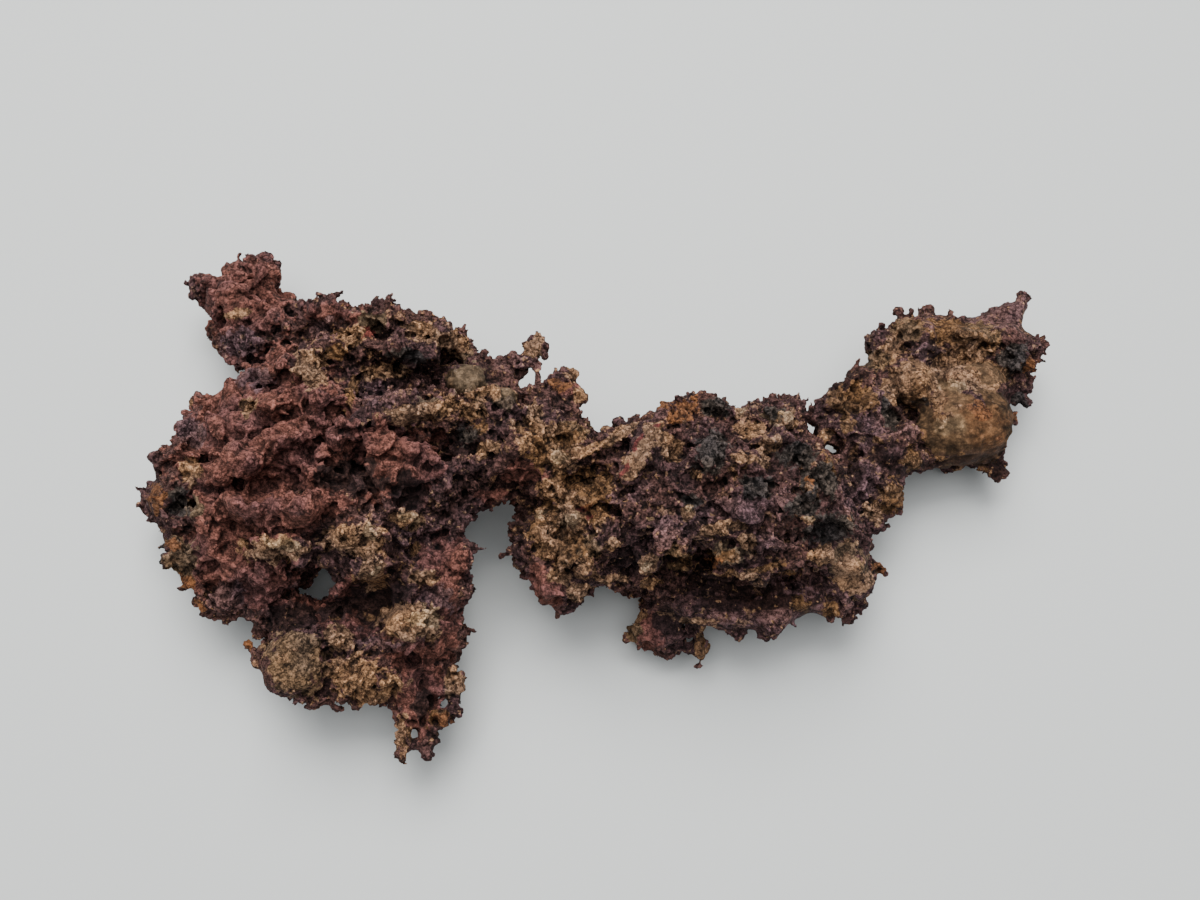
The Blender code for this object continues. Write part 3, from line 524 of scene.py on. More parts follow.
# For each ground, its patches: across, up, radius across, radius up, turn.
PATCHES: dict[Ground, tuple[tuple[float, ...], ...]] = {
    Ground.BRICK: (
        (-84, 2, 26, 27, 0), (-88, 38, 14, 12, 20), (-90, -26, 17, 14, 0), (-52, -3, 15, 12, 0),
        (-45, -60, 7, 13, 0), (-40, -34, 6, 15, 0), (-60, -40, 12, 9, 0), (-95, 4, 8, 5, 0),
        (-88, -3.5, 10, 6, 0), (-94, -13, 11, 7, 0), (-72, -12, 10, 6, 0), (-77.5, 1, 8, 5, 0),
        (-81, 11, 8, 6, 0), (-70, 11, 10, 5, 0), (-88, 40, 9, 7, 20), (-91, 32, 8, 5, 0),
        (-36, -27, 4, 5, 0), (-46, 0, 5, 5, 0), (-27, -11.7, 5, 2, 0), (-44, -66, 4, 6, 0),
        (-13, -36, 5, 4, 0), (-15, -32, 4, 3, 0), (-19, -6, 6, 3, 0), (-84, -36, 8, 4, 0),
        (-95, -30, 6, 6, 0), (-100, 3, 4, 4, 0), (-50, -48, 6, 2, 0), (34, -15, 4, 3, 0),
        (-57, -6, 5, 3, 0), (-38, -46, 3, 5, 0), (-8, 15, 3, 3, 0), (12, -45, 5, 5, 0),
        (-86, -18, 16, 6, 0), (-98, -22, 6, 5, 0), (-90, -33, 14, 7, -20), (-70, -40, 9, 4, 0),
        (-103, -3, 5, 4, 0), (-46, -52, 8, 5, 0), (-66, 34, 9, 3, -10),
    ),
    Ground.MAUVE: (
        (-102, 4, 4, 4, 0), (-90, 27, 6, 4, 0), (-57, -16.7, 4, 2.5, 0), (-55, 14, 6, 4, 0),
        (-42, 15, 4, 3, 0), (-49, -23, 3, 5, 0), (-21, 22, 6, 3, 0), (-86, 18, 5, 3, 0),
        (-41, -37, 5, 4, 0), (35, -15, 7, 5, 0), (44, -14, 6, 4, 0), (17.5, -21, 5, 4, 0),
        (61, -12, 3, 7, 0), (2.5, -12.5, 4, 2, 0), (44, -22.5, 8, 3, 0), (70, 5.5, 6, 6, 0),
        (82, 29, 4, 5, 0), (78, 5, 3, 3, 0), (103, 34, 5, 4, 30), (64, -9, 5, 7, 0), (80, 23, 6, 2, 0),
        (40, -38, 18, 7, 0), (60, -36, 6, 5, 0), (-57, -49, 8, 2, 0), (25, -15, 6, 4, 0),
        (-93, -37, 5, 4, 0), (72, 14, 5, 5, 0), (66, -2, 6, 5, 0), (96, 31, 5, 3, 0), (-68, 30, 5, 3, 0),
        (10, -10, 4, 4, 0),
    ),
    Ground.UMBER_AND_SHADE: (
        # This ground is partly the crust's own dark brown and partly painted shade: dark patches laid in
        # clefts and hollows, under ledges, along the shadowed band under the east boulder's lower edge (91.5,
        # -1.8), and in the shadow below the hanging sheet's lip (34, -34) and (40, -38).
        (91.5, -1.8, 12, 2.2, 10), (70, -1, 4, 3, 0), (63, -6, 3, 5, 0), (77, 27, 3, 2, 0),
        (83.5, 25, 2.4, 4, 0), (74, -6, 3, 3, 0), (-62, -7, 10, 5, 0), (-55, -38, 8, 9, 0),
        (-33, 3, 5, 5, 0), (-66, -40, 5, 4, 0), (-47, 22, 9, 3, -6), (-77, -42, 8, 4, 0),
        (24, -29, 4, 4, 0), (-48, -10, 5, 5, 0), (34, -34, 14, 3, 0), (40, -38, 20, 2.4, 0),
        (-44, -63, 3, 5, 0), (-41, -72, 2, 2.4, 0), (99, -5, 3.5, 3.5, 0), (62, 17, 5, 3, 30),
        (-18, -20, 4, 4, 0), (74, 9, 2, 5, 20), (7, -27, 4, 4, 0), (17, -43, 4, 4, 0),
    ),
    Ground.TAN: (
        (-82, -24.6, 9.6, 3.8, 0), (-62, -22.5, 8.6, 4.6, 0), (-57, -31, 4.6, 4.6, 0),
        (-44, -31, 4, 3, 0), (-48, -43, 9, 5.5, -10), (-65, -46.7, 4, 4, 0), (-62, -56, 7, 5, 0),
        (-58, -61, 7, 2.5, 0), (-52, -58, 4, 3, 0), (-49.5, -71, 2.5, 5, 0), (-72, 21, 5, 6, 0),
        (-48, 8.5, 7, 3, 0), (-40, 11, 7, 2.5, 10), (-29, 14, 4, 2, 0), (-32, 10, 4, 3, 0),
        (-17, 9, 3, 4.5, 0), (-21, 6.7, 2, 2, 0), (-19, 1.7, 3, 3, 0), (-28, 0, 3, 2, 0),
        (-16, 25.5, 3.4, 3, 0), (-5, 13.3, 2.5, 2.5, 0), (-7, 19, 2.5, 2, 0), (-102.5, -5, 3, 3.5, 0),
        (-88, 10.8, 2.5, 3, 0), (-38, 28, 6, 3, -30), (-55, 19, 6, 3, 0), (-48, -17, 5, 2.5, 0),
        (-36, -58, 2.5, 4, 0), (-9.4, -3, 5, 3, 0), (3, 3, 7, 1.8, 30), (-6, -1.2, 5, 2, 30),
        (9.6, -2.2, 2.6, 9, -28), (17.5, 1.2, 3.6, 3.4, 0), (-6.5, -17.5, 4, 3, 0),
        (-14.4, -15.6, 2.5, 2, 0), (-3.8, -29, 3, 3, 0), (-4.4, -35.6, 4, 2.5, 0), (3, -32.5, 5, 1.6, 0),
        (12.5, -33.8, 3, 1.3, 0), (3, -23, 2, 2, 0), (12.5, -28.8, 3, 3, 0), (22, -15.6, 2, 1.8, 0),
        (24.4, -6.2, 1.5, 1.3, 0), (28.8, -20, 4, 2.5, 0), (34.4, -19.4, 3, 1.5, 0),
        (37, -23, 2.5, 2.5, 0), (37.5, 5, 4, 2, 0), (42.5, 1.2, 4, 3, 0), (34.7, 8.8, 2, 1.8, 0),
        (47, 7.5, 2.6, 3, 0), (41.2, -2.8, 2, 1.2, 0), (35.6, -2, 4, 1.5, 0), (52.5, -9.4, 2.4, 3, 0),
        (51.2, -17.5, 2, 1.6, 0), (55.6, -26.2, 3.4, 3, 0), (63, -32, 6, 4.6, -62), (34, -31, 8, 1.2, 0),
        (10, -42, 3, 2, 0), (93, 18.5, 10, 4.5, 5), (78, 16.6, 8, 7, 0), (74, 26, 3, 3, 0),
        (9.6, -2.4, 3, 8, -30), (13.6, 5.4, 2.4, 5, -36), (17, 1.8, 4, 3, -10), (-11, -10, 5, 2.6, 0),
        (-13, -22, 4, 4, 0), (-10, -31, 4, 2.6, 0), (-14, -26.6, 3, 2.4, 0), (-7, -13.6, 4, 2.4, 0),
        (90, 23, 8, 3, 10), (84, 19, 5, 5, 0), (56.5, 3.5, 2, 2, 0), (69, 3, 1.8, 1.4, 0),
        (68.5, -16, 3, 3, 0), (-103, 13, 2, 1.6, 0), (-81, -24, 6, 2, 0), (24, -42.5, 4, 1, 0),
        (-91, 34.5, 4, 1.2, 10), (86, 12, 5, 4, 0), (-14.5, 5, 1.8, 2.4, 0), (-62, 28.5, 5, 2.5, -5),
        (-44.5, 29.5, 5, 2.4, -15),
    ),
    Ground.CREAM: (
        (-79, -23.4, 5, 1.8, 0), (-58, -20.5, 2, 1.6, 0), (-44.5, -42, 4, 3, 0), (-48, -16.6, 3, 1.4, 0),
        (-7, -17.5, 2.6, 1.8, 0), (89, 16.4, 4.6, 1.8, 0), (12.5, -29, 1.4, 1.2, 0),
        # The first speck on the next line, (12.6, -18), is a painted highlight: a tiny cream spot where a
        # glint falls.
        (12.6, -18, 0.8, 0.6, 0), (-9.5, -2, 3, 1.6, 0), (46.8, 8, 1.6, 1.8, 0),
        (-56, -30.6, 1.6, 1.4, 0), (88, 6, 4, 2.4, 0), (22, -15, 1.2, 1, 0), (-14.4, -15.6, 1.6, 1, 0),
        (35, 9, 1, 1, 0), (51.6, -17, 1, 0.9, 0),
    ),
    Ground.OCHRE: (
        (-62, 15, 1.6, 5, -8), (-46, -25, 1.6, 3, 0), (-60, -58, 6, 2.6, 0), (-4, -10.6, 9, 7, 0),
        (-10, -19, 8, 10, 0), (-12, 1, 8, 6, 20), (62, 13, 6, 4, 30), (90, 28, 9, 4, -20),
        (98, -2, 2.4, 1.6, 0), (-0.6, -16, 3, 4, 0), (-9, -25.6, 5, 4, 0), (91.5, 5, 12, 9, 0),
        (66.5, 11.5, 3.6, 3, 0), (61.5, 7.5, 2, 3, 0), (25.6, -48.8, 1.8, 5, 0), (50.6, -38.8, 2, 3, 0),
        (57.5, -40.6, 2, 2.4, 0), (72.5, -11.5, 4, 5, 0), (19, -2.5, 1.6, 1.4, 0), (-66, 25, 3, 2, 0),
        (42, -29, 5, 1, 0), (-40, -66.7, 4, 2.6, 0), (32, -26, 3, 1.4, 0), (58, -4, 2, 4, 30),
        (78, -2.5, 3, 3, 0), (-30, 5, 2, 2, 0), (48, -31, 3, 1, 0),
    ),
    Ground.OLIVE: (
        (-76, -53, 8, 9, 15), (62.5, -29.5, 9, 5.8, -62), (-105, -27.5, 4.6, 7, 10),
        (-13, -20.6, 5, 5, 0), (18.8, -27.5, 4, 3, 0), (77, 30.5, 5, 3, 0), (91.5, 28.5, 9, 4, 0),
        (100, 19, 3, 3, 0), (-16, 25, 3.4, 3, 0), (-7, 5, 5, 3, 0), (8, -45, 2, 4, 0),
        (-37, -58, 2, 4, 0), (70, 23, 4, 3, 0), (-50, 20, 4, 2, 0), (-4, -24, 5, 4, 0),
        (-35, 25, 4, 3, -30),
    ),
    Ground.GREY: (
        (-57, 31.7, 4, 2.4, 0), (-32.9, 17.5, 5.4, 4, 10), (-24.2, 13.3, 3.6, 3, 0),
        (32.5, -26.2, 5, 2.4, 0), (-103, -14, 4, 3, 0), (43.8, 8.6, 4, 2.4, 0), (-42.5, 12.5, 3, 2, 0),
    ),
    Ground.BLACK: (
        # This ground is partly the crust's own black and partly painted shade: dark patches laid in pits and
        # hollows and in the recess under the crest's ledge (-47, 24).
        (-105.4, -12, 3, 5, 0), (-109.4, -28, 1.3, 6, 0), (27.5, -0.6, 5, 6, 0), (28.5, 11.2, 4, 2.4, 0),
        (43.8, 9.8, 4, 2, 0), (48.8, -1.2, 6, 3, -10), (55.6, -6.9, 5, 5, 0), (50, -13.8, 4, 3, 0),
        (57, -19.4, 8, 4.2, 10), (23, -13, 3, 2, 0), (103.5, 23, 4.6, 4, 0), (105.5, 12.6, 3, 2, -40),
        (-33, 4, 3, 2.6, 0), (72.5, 9, 1.8, 4, 20), (-47, 24, 6, 1.6, -6), (80, 12, 3, 1.6, 0),
        (39, -9, 4, 3, 0),
    ),
    Ground.ORANGE: (
        (-110.6, -12, 2.8, 4, 0), (-107, -23.6, 2, 1.6, 0), (-104, -32.6, 3, 1.6, 0),
        (-100, -38.3, 2, 2, 0), (21, 10, 5.4, 3, 15), (70, -29, 1.8, 4, 0), (28.7, -27.8, 1.8, 1.6, 0),
        (108, 21.5, 2, 2.8, 0), (96, 8, 6, 5, 0), (97.5, 3, 5, 3, 0), (-87.8, -48.6, 1.6, 1.4, 0),
        (-39, -67, 3, 2, 0), (-9.6, 15.5, 2.4, 2, 0), (103.6, 8, 1.6, 1.6, 0), (-3, -14.6, 1.6, 1.2, 0),
        (53, -8, 1.2, 1.4, 0), (16, 12, 2, 1.4, 20),
    ),
    Ground.RED: (
        (-57.8, 29, 1.7, 1.5, 0), (6.2, -5, 0.7, 3, -28), (9.6, 2, 0.6, 3, -28), (-3, -17, 1.2, 1, 0),
        (-5, -15.4, 1.4, 0.7, 0), (14, 6.5, 0.8, 1, -28),
    ),
}

# The grounds that also show where the eye does not look.
WILD = (Ground.BRICK, Ground.MAUVE, Ground.UMBER_AND_SHADE, Ground.OLIVE, Ground.OCHRE, Ground.TAN)

# Lumps (up) and hollows (down) of the relief: across, up, radius across, radius up, turn, rise.
SWELLS: tuple[tuple[float, ...], ...] = (
    # the horn
    (-93, 41, 6, 2.2, 8, 1.4), (-88, 37.6, 8, 1.8, -4, 1.3), (-90, 33.4, 6, 1.7, -4, 1.2),
    (-85, 43, 4, 3, 40, 1.2), (-98, 41, 4, 2.6, 30, 1.2), (-82, 33, 5, 2.4, -10, 1.3),
    (-89.5, 21.6, 2.6, 1.8, 0, -3), (-83, 24, 1.8, 2.2, 30, -2.4), (-86, 27.6, 4, 1.6, 6, 1),
    (-79, 36, 3, 1.4, -40, 1), (-91, 30, 4, 1.2, 0, 0.9),
    # the red lumps of the west mass
    (-80, 20.6, 6, 3.8, 20, 2.2), (-80.5, 11.2, 5.6, 4.4, 0, 2.8), (-72, 22, 3.6, 7, -10, 1.8),
    (-66.5, 13.2, 6.4, 3.4, 4, 2), (-95, 6, 5.4, 3.8, 10, 2), (-88, 5, 2.6, 2.8, 0, 1.2),
    (-88.4, -4, 6.4, 5.2, -25, 2.8), (-95, -7, 3.8, 2.6, 0, 1.8), (-92.5, -15, 6.4, 4.4, 0, 1.9),
    (-84, -15.6, 5, 4, 20, 1.9), (-73.6, -14.6, 5.6, 5.4, 20, 2.4), (-82, -11.4, 3.6, 1.7, 8, 1.6),
    (-78, 3, 6.4, 3.6, 0, 2.3), (-77, -2.6, 2.6, 1.3, -8, 1.3), (-68.6, -1.5, 3.2, 1.2, -5, 1.5),
    (-61, 0.2, 2.4, 1.1, 0, 1.2), (-64.6, -1.6, 1.6, 1.2, 0, 1), (-62, 5, 4.6, 3.6, 0, 1.9),
    (-56, 4, 3.2, 3, 0, 1.7), (-63.4, -7, 4.4, 3, 0, 1.2), (-71.4, -7, 4, 2.6, 10, 1.3),
    (-48, -6, 6.6, 3.8, -8, 2.2), (-54, -12, 3.6, 2.2, 0, 1.5), (-61, -11.6, 5.4, 2.6, -12, 1.4),
    (-47, 1.6, 3, 2.6, 60, 1.6), (-42, -1.6, 3, 2, 0, 1.5), (-50, 8.4, 6, 3.2, 0, 1.8),
    (-55, 8, 3.6, 2.2, 30, 1.2), (-97, -27, 4.6, 2.6, 0, 1.2), (-93, -21, 5, 3, 0, 1.2),
    (-88, -32, 6, 2.4, 0, 1.2), (-84, -38, 5, 3.4, 0, 1.2), (-33.6, -6, 4, 2.6, -20, 1.6),
    (-36.6, -26.4, 4.6, 4.4, 0, 1.3), (-41.6, -30, 4.4, 2.4, 5, 1.6), (-71, -46, 1.6, 4, 0, 1),
    (-66, -46.4, 3, 4.6, -5, 2.2), (-58, -30, 4, 3.8, 0, 1.8), (-65, -24, 4, 3, 0, 1.2),
    (-48.5, -17.6, 3.2, 2, -20, 1.8), (-60.6, -16.4, 3.4, 2, 0, 1.5), (-53, -15.4, 2.4, 1.2, 0, 1.3),
    (-56, -20.8, 1.5, 1.2, 0, 1.1), (-48, -43.6, 7.4, 4.4, -4, 2.6), (-61, -57, 7, 5.4, 0, 2.2),
    (-52.6, -57.6, 3.6, 1.9, 22, 1.5), (-53.2, -61.6, 2.8, 1.4, 0, 1), (-52, -48.4, 8, 1.5, 2, 1.4),
    (-73.6, -62.6, 2, 1.6, 0, 1), (-66.4, -63.4, 2, 1.6, 0, 1), (-76.6, -27.4, 3, 2.4, 0, 1.4),
    (-42, -49, 2, 3, 0, 1), (-107, -11.4, 4.6, 5, 0, 1.6), (-103, -4, 1.9, 1.4, 0, 1.2),
    (-102, -9, 1.8, 2, 0, 1.4), (-105, -28, 4.6, 6.6, 10, 2), (-105.4, -18, 4.4, 3.4, 0, 1.2),
    (-105, 2.6, 3.6, 3, 0, 1.2), (-96.6, 11.6, 3.4, 1.8, 20, 1),
    # its hollows
    (-83.6, 5.4, 2.6, 1.3, 0, -3.4), (-77.5, 9, 1, 1.6, 0, -2.4), (-69, 2.2, 3.2, 1.7, -20, -5),
    (-53.6, -2.2, 2.7, 2.3, 0, -5), (-41, 2.4, 4, 2.2, -15, -2.8), (-91.5, -8.4, 2.9, 1.4, 0, -4),
    (-76.8, -8.7, 1.6, 1.1, 0, -3.6), (-98.4, -3, 2, 1.8, 0, -3), (-86, 2, 0.9, 2.2, 0, -2.4),
    (-58, -12.6, 1.8, 2, 0, -3.4), (-72, -21.6, 1.8, 0.9, 0, -2.4), (-81.6, -32.8, 2, 0.9, -10, -2.4),
    (-57.4, -38, 9, 8.4, 20, -3), (-51.6, -26, 3.6, 5.4, 20, -2.4), (-59, -46.4, 3, 1, 0, -2.2),
    (-53.6, -53.6, 2.2, 1.6, 0, -3.4), (-47.4, -53, 2.2, 1.6, 0, -3), (-41.4, -60.6, 1.2, 2.6, 0, -2.6),
    (-62.6, -50.4, 3.6, 1, 12, -2.6), (-99, -35.6, 2.4, 1, 0, -1.6), (-65, -38, 3, 3, 0, -2),
    (-96, -38.6, 4, 1, 0, -1.2),
    # the crest and the ledges north-east of it
    (-56, 32, 6.4, 3.4, 0, 1.4), (-44.6, 22.6, 6.6, 2.2, 4, -5), (-53, 21.6, 4.6, 1.2, 8, -3),
    (-42, 27, 5.4, 1.2, -6, -2.6), (-48.4, 14.4, 2.5, 2, 0, -2.6), (-52, 19, 3.6, 2.3, 0, 1.2),
    (-43.6, 14, 3.4, 2.4, 0, 1.4), (-26.4, 19, 6.4, 3.2, -6, -2.6), (-28.6, 21.4, 3.2, 0.9, 0, -2),
    (-37, 29.6, 4, 1.8, -20, 1.4), (-70, 35.6, 3.4, 2.6, 0, 1), (-62, 27, 4, 2, 0, 1.2),
    (-36, 6.4, 3.4, 1.3, 0, -2.6), (-25, 3.6, 2, 1.4, 0, -2.2), (-33, 0, 3, 1.6, -20, -2),
    (-37, 3, 2, 1.6, 0, -1.8), (-21, 0.8, 1.9, 1.6, 0, 1.4), (-21, -5, 3.4, 2, 0, 1.4),
    (-17, 8.6, 2.4, 3.2, 0, 1.4), (-13.4, -2, 1.6, 2.6, 0, -2.6), (-11.6, 0, 3.4, 1.2, 14, -2.4),
    (-16.4, 3.6, 2.6, 2, 0, 1), (-10, 10, 3, 2.6, 0, 1.2), (-31, -9, 3.4, 2, -30, 1.2),
    # the west flank of the middle mass
    (-14.8, -15.6, 3.4, 1.5, 6, 1.6), (-7, -17.2, 3.4, 2.4, -20, 1.9), (-3, -7.2, 6, 1.9, 6, -2.8),
    (2.4, -7, 2.6, 2.2, 0, -2.6), (3, -12.4, 3, 2.5, 0, 1.2), (-13, -36, 5.2, 3.4, -25, 1.5),
    (-5, -35.4, 3, 2.6, 0, 1.4), (-9, -34.8, 1.6, 0.7, -10, -2.4), (3.4, -23.4, 1.8, 2.3, 0, 1.8),
    (6.4, -22, 1.2, 2, 0, -2), (0.6, -21.4, 1, 1.6, 0, -2), (6, -29, 4, 2.8, 0, -2.6),
    (12.2, -28.4, 1.8, 3.2, -10, 1.6), (12.6, -24, 0.9, 2, 0, -2.8), (-9.6, -24.6, 4, 3.4, 0, 1.2),
    (-14.5, -22.6, 2.6, 2.4, 0, 1.2), (-3, -28.6, 2, 2.4, 0, 1.2), (1.2, -27.4, 1.2, 1, 0, 1),
    (3, -33.6, 3.6, 1.2, 12, 1), (0, -31, 4, 0.8, -20, -1.8),
    # its top
    (9.4, -4.2, 2.3, 5.6, -30, 2.4), (13, 4.6, 1.9, 5, -36, 2.2), (18.4, -21.6, 4.6, 7.4, -8, 2),
    (26, -1.2, 4.4, 6, 10, 1.2), (37, -2.2, 4.6, 2.2, -8, 1.7), (42.2, 2.8, 4.2, 2, 0, 1.8),
    (46.6, 7.6, 2, 2.6, 0, 1.4), (41.4, -2.8, 1.9, 1.1, 0, 1.2), (52.6, -10, 1.8, 3, 35, 1.8),
    (36.6, -16, 5.2, 3.8, -20, 1.8), (46, -12.8, 4.6, 3.8, 0, 1.5), (29, -19.4, 3.6, 2.4, 0, 1.4),
    (36.8, -22, 2.8, 1.8, 0, 1.4), (32.6, -26.4, 6, 2.8, -4, 2.2), (28.6, -27.6, 1.6, 1.5, 0, 1),
    (21, 9.6, 4.6, 2.8, 20, 1.6), (28.4, 10.6, 3.6, 2.2, 0, 1.4), (38, 9.6, 3, 2, 0, 1.2),
    (24.4, -6.4, 1.8, 1.2, 30, 1), (22, -15.6, 1.9, 1.6, -30, 1.3), (62.8, -30.6, 9.6, 5.6, -62, 0.7),
    (61.3, -25.2, 3.4, 2.6, 0, -1), (55.4, -26.4, 3, 2.4, 0, 1.5), (34, 2, 3, 2, 0, 1),
    (17.6, 1, 2.4, 2, 0, 1), (62.6, -14, 2.4, 3.4, 30, 1.2), (25, -24, 2.3, 2.2, 0, -5),
    (30.6, -9.6, 3.2, 1.9, -10, -3.8), (22.4, -7, 1.6, 1, 0, -2.6), (24.6, 6.6, 2.4, 1, -20, -2.6),
    (47.6, -1.4, 2.8, 1.8, 0, -2.8), (54.2, -13.2, 1.8, 0.8, 0, -2.4), (38.6, -12.4, 1.1, 2.6, 0, -2.2),
    (49.6, -14.6, 2.4, 1.2, 0, -2.4), (57, -20.4, 5, 3, 0, -1.3), (49.4, -22, 1.8, 1.4, 0, -2.2),
    (31, -22.6, 2.2, 0.9, -10, -2.2), (43, -8.6, 2.4, 0.9, 0, -1.8), (53, -32.4, 2.2, 1.1, 0, -2),
    (48.2, -34, 1.5, 2.2, 0, -2), (57.6, -37.4, 1.2, 1.2, 0, -1.8), (20, -8, 2, 1.2, 0, -2),
    (35, -35.4, 14, 2, 0, -1.6), (14.6, -10.6, 1.6, 1, 0, -1.6), (33, 7.6, 2.4, 1, 0, -1.4),
    (14, -17, 2.4, 2, 0, 1), (16.6, -41, 3.6, 2, 0, -1), (24.8, -49, 2.2, 4.4, 8, 1),
    (10.6, -46, 2.6, 4, 0, 1), (44, -42, 5, 3, 0, 1), (30, -42, 5, 2.4, 0, 0.8),
    # the east mass
    (77.2, 16.6, 5, 5.8, 0, 2.2), (82.4, 27.6, 2.4, 6, 6, 2), (92.4, 28, 5, 3.4, 0, 1.2),
    (84.6, 17.4, 1.2, 2.4, -10, -2), (73, 22, 3, 2.4, 30, 1.4), (66, 11, 3, 2.4, 0, 1.3),
    (69.6, 4, 4, 3, -20, 1.3), (62, 17, 4.6, 2.6, 38, 1.3), (72.6, -11, 3.4, 4.4, 0, 1.3),
    (65, -7, 3, 3.4, 0, 1.2), (61.6, 4, 2.4, 1.6, 0, 1), (78, 26, 2.2, 1, 0, -2),
    (86, 27, 1.2, 2.6, 40, -2), (77, 30.4, 3.2, 2.4, 0, 1.2), (103, 23, 3.6, 3.2, -30, 1),
    (66, -2.6, 4.6, 0.9, -30, -2.4), (76, 3.4, 2.6, 3, 0, 1.2), (68, 17, 2, 2, 0, 1),
    (60, 9, 1.6, 0.9, 0, -1.8), (70.6, -4, 2.4, 1, -20, -1.6),
)

# Creases: rise of the line's middle (under 0 for a cleft), half width, and the line's points.
CREASES: tuple[tuple[float, float, tuple[tuple[float, float], ...]], ...] = (
    (-2.6, 1, ((-95.4, -10), (-94, -14), (-92, -17.4), (-93, -22))),
    (-3, 1, ((-84, -10.6), (-82.4, -14.4), (-83.6, -19))),
    (-3, 1.1, ((-66.4, -4), (-67, -9), (-65.6, -14), (-67.6, -19))),
    (-3, 1.1, ((-90, -1), (-86.4, 3), (-86, 8), (-89, 12))),
    (-3, 1.1, ((-72.4, -3), (-72, 3), (-73.6, 8), (-72.6, 14))),
    (-2.6, 1, ((-65.6, 4), (-64.6, 9), (-66.4, 14), (-65, 19))),
    (-2.6, 1, ((-59, -1), (-56.8, 3), (-58.6, 8))),
    (-2.6, 1, ((-50, -10), (-49, -5), (-50.6, 0), (-48, 4.6))),
    (-2.2, 1, ((-42.6, -10), (-44, -4), (-42.6, 1))),
    (-2.4, 1, ((-77, 14.6), (-75.6, 18.6), (-77, 24))),
    (-2, 1, ((-90, -26), (-91.4, -31), (-89, -36))),
    (-2, 1, ((-79.6, -27), (-80.4, -32), (-78.4, -37))),
    (-2.2, 1.1, ((-95, 28), (-90, 28.2), (-84, 30))),
    (-1.6, 0.9, ((-80, 27), (-77, 28), (-73, 29.4), (-71, 30.4))),
    (-3, 1.5, ((-87, 15.2), (-80, 14.8), (-75, 16.4))),
    (-2.4, 1.2, ((-86, 6.4), (-80, 7.2), (-76, 6.4))),
    (-3.2, 1.3, (
        (-100, -9.4), (-96, -9.8), (-91, -9.8), (-86, -10.6), (-83, -9), (-81, -7.2), (-79, -8),
        (-76.6, -9.4), (-72.6, -9.2),
    )),
    (-3, 1.3, ((-74, -1.6), (-72, -3), (-68, -3), (-65.6, -3.4), (-61, -3.4))),
    (-4, 1.6, ((-64, -2.6), (-61, -3.6), (-59, -7), (-57.6, -11), (-56, -14.4))),
    (-2.2, 1.1, ((-56, -9.4), (-50, -10.2), (-44, -10), (-40.6, -9.4))),
    (-2.6, 1, ((-52.6, -13.2), (-49, -14.2), (-46, -13), (-41, -14))),
    (-2, 0.9, ((-79, -9.6), (-78.6, -14), (-79.6, -19))),
    (-2.4, 1.1, ((-54, -24.6), (-51, -29), (-47.6, -32.6), (-45.6, -34))),
    (-2.8, 1, ((-69, -51.6), (-66, -51.2), (-62, -50), (-57.6, -49.8))),
    (-2.4, 1.1, ((-69.6, -52), (-69, -56), (-69.6, -60.6))),
    (-2, 0.9, ((-56.4, -57.4), (-55, -60), (-50, -60.6))),
    (-2.4, 1.1, ((-110, -15.6), (-104, -14.4), (-100.4, -13.4), (-99, -9.6))),
    (-1.8, 0.9, ((-108.6, -22), (-103, -22.4), (-99, -20.4))),
    (-2.2, 1, ((-66, 25), (-60, 24.6), (-56, 22.8), (-50, 23.6), (-43, 25.4))),
    (-1.6, 0.7, ((-39.6, 13.4), (-36, 12.9), (-32.4, 14.8))),
    (-1.8, 0.9, ((-61.6, 10), (-57.6, 9.8), (-54, 11.4))),
    (-2.2, 1.1, ((-67, 9), (-60, 8.6), (-58.6, 6))),
    (-2.2, 1, ((-16, -7), (-18.6, -8.6), (-24, -8.6))),
    (1.8, 1.7, ((-88.4, -21.6), (-82, -22.6), (-76, -22), (-73, -23.8))),
    (1.5, 1.5, ((-89.4, -26.8), (-84, -25.6), (-81, -26.2))),
    (1.4, 1.2, ((-68, -22.6), (-63, -20), (-57.6, -19.4))),
    (1.6, 1.9, (
        (-56, 8), (-50, 9), (-44, 10), (-38, 11.6), (-33, 13.2), (-29, 15.8), (-25, 14.4), (-20.4, 11),
    )),
    (1.6, 1.8, ((-66, 27.4), (-60, 26.6), (-54, 24.8), (-48, 26), (-41, 28.6))),
    (2.2, 2.2, ((-14, -8), (-8, -3.2), (-2, -0.6), (4, 2.6), (8.6, 6.2))),
    (1.2, 1.2, ((-5, -4.4), (0, -3.2), (4, -2.6))),
    (1.4, 1.5, ((-15, -9.8), (-9, -10.6), (-4.6, -10.4))),
    (-2, 0.9, ((5.2, -8), (7.4, -1), (11, 3.4))),
    (-1.6, 0.8, ((14, -30.2), (19, -30), (24.4, -31.8))),
    (-2.6, 0.8, ((30.4, -29.8), (34, -29.7), (38.6, -29.3))),
    (1.6, 1.2, ((27.6, -31), (34, -31.6), (40, -31.4), (46, -29.6), (52, -28))),
    (-1.8, 0.9, ((40.6, -24), (44, -25.4), (47.6, -26.6))),
    (-1.4, 0.8, ((51.6, -31), (57, -36), (62, -40))),
    (-1.4, 0.8, ((46.4, -32), (50, -37))),
    (-2, 0.9, ((34.6, 0.4), (38, -0.2), (40.6, 0.6), (44, 0.2))),
    (-1.4, 0.8, ((21.6, 3), (20.6, -2), (22, -6))),
    (1, 0.9, ((21.4, -41), (24, -44), (29, -45.2))),
    (-2.4, 1.1, ((70.6, 13), (71.6, 10), (73.6, 8.4), (78.6, 7.8), (79.8, 5), (80.2, 1.4), (82.6, -1.4))),
    (-2, 1, ((81.6, 24), (86, 21), (86, 16))),
    (-1.6, 0.9, ((71.6, 21), (73, 17), (72, 13))),
    (-1.6, 0.8, ((99.6, 22.4), (101.6, 19.4), (105, 17.6))),
)

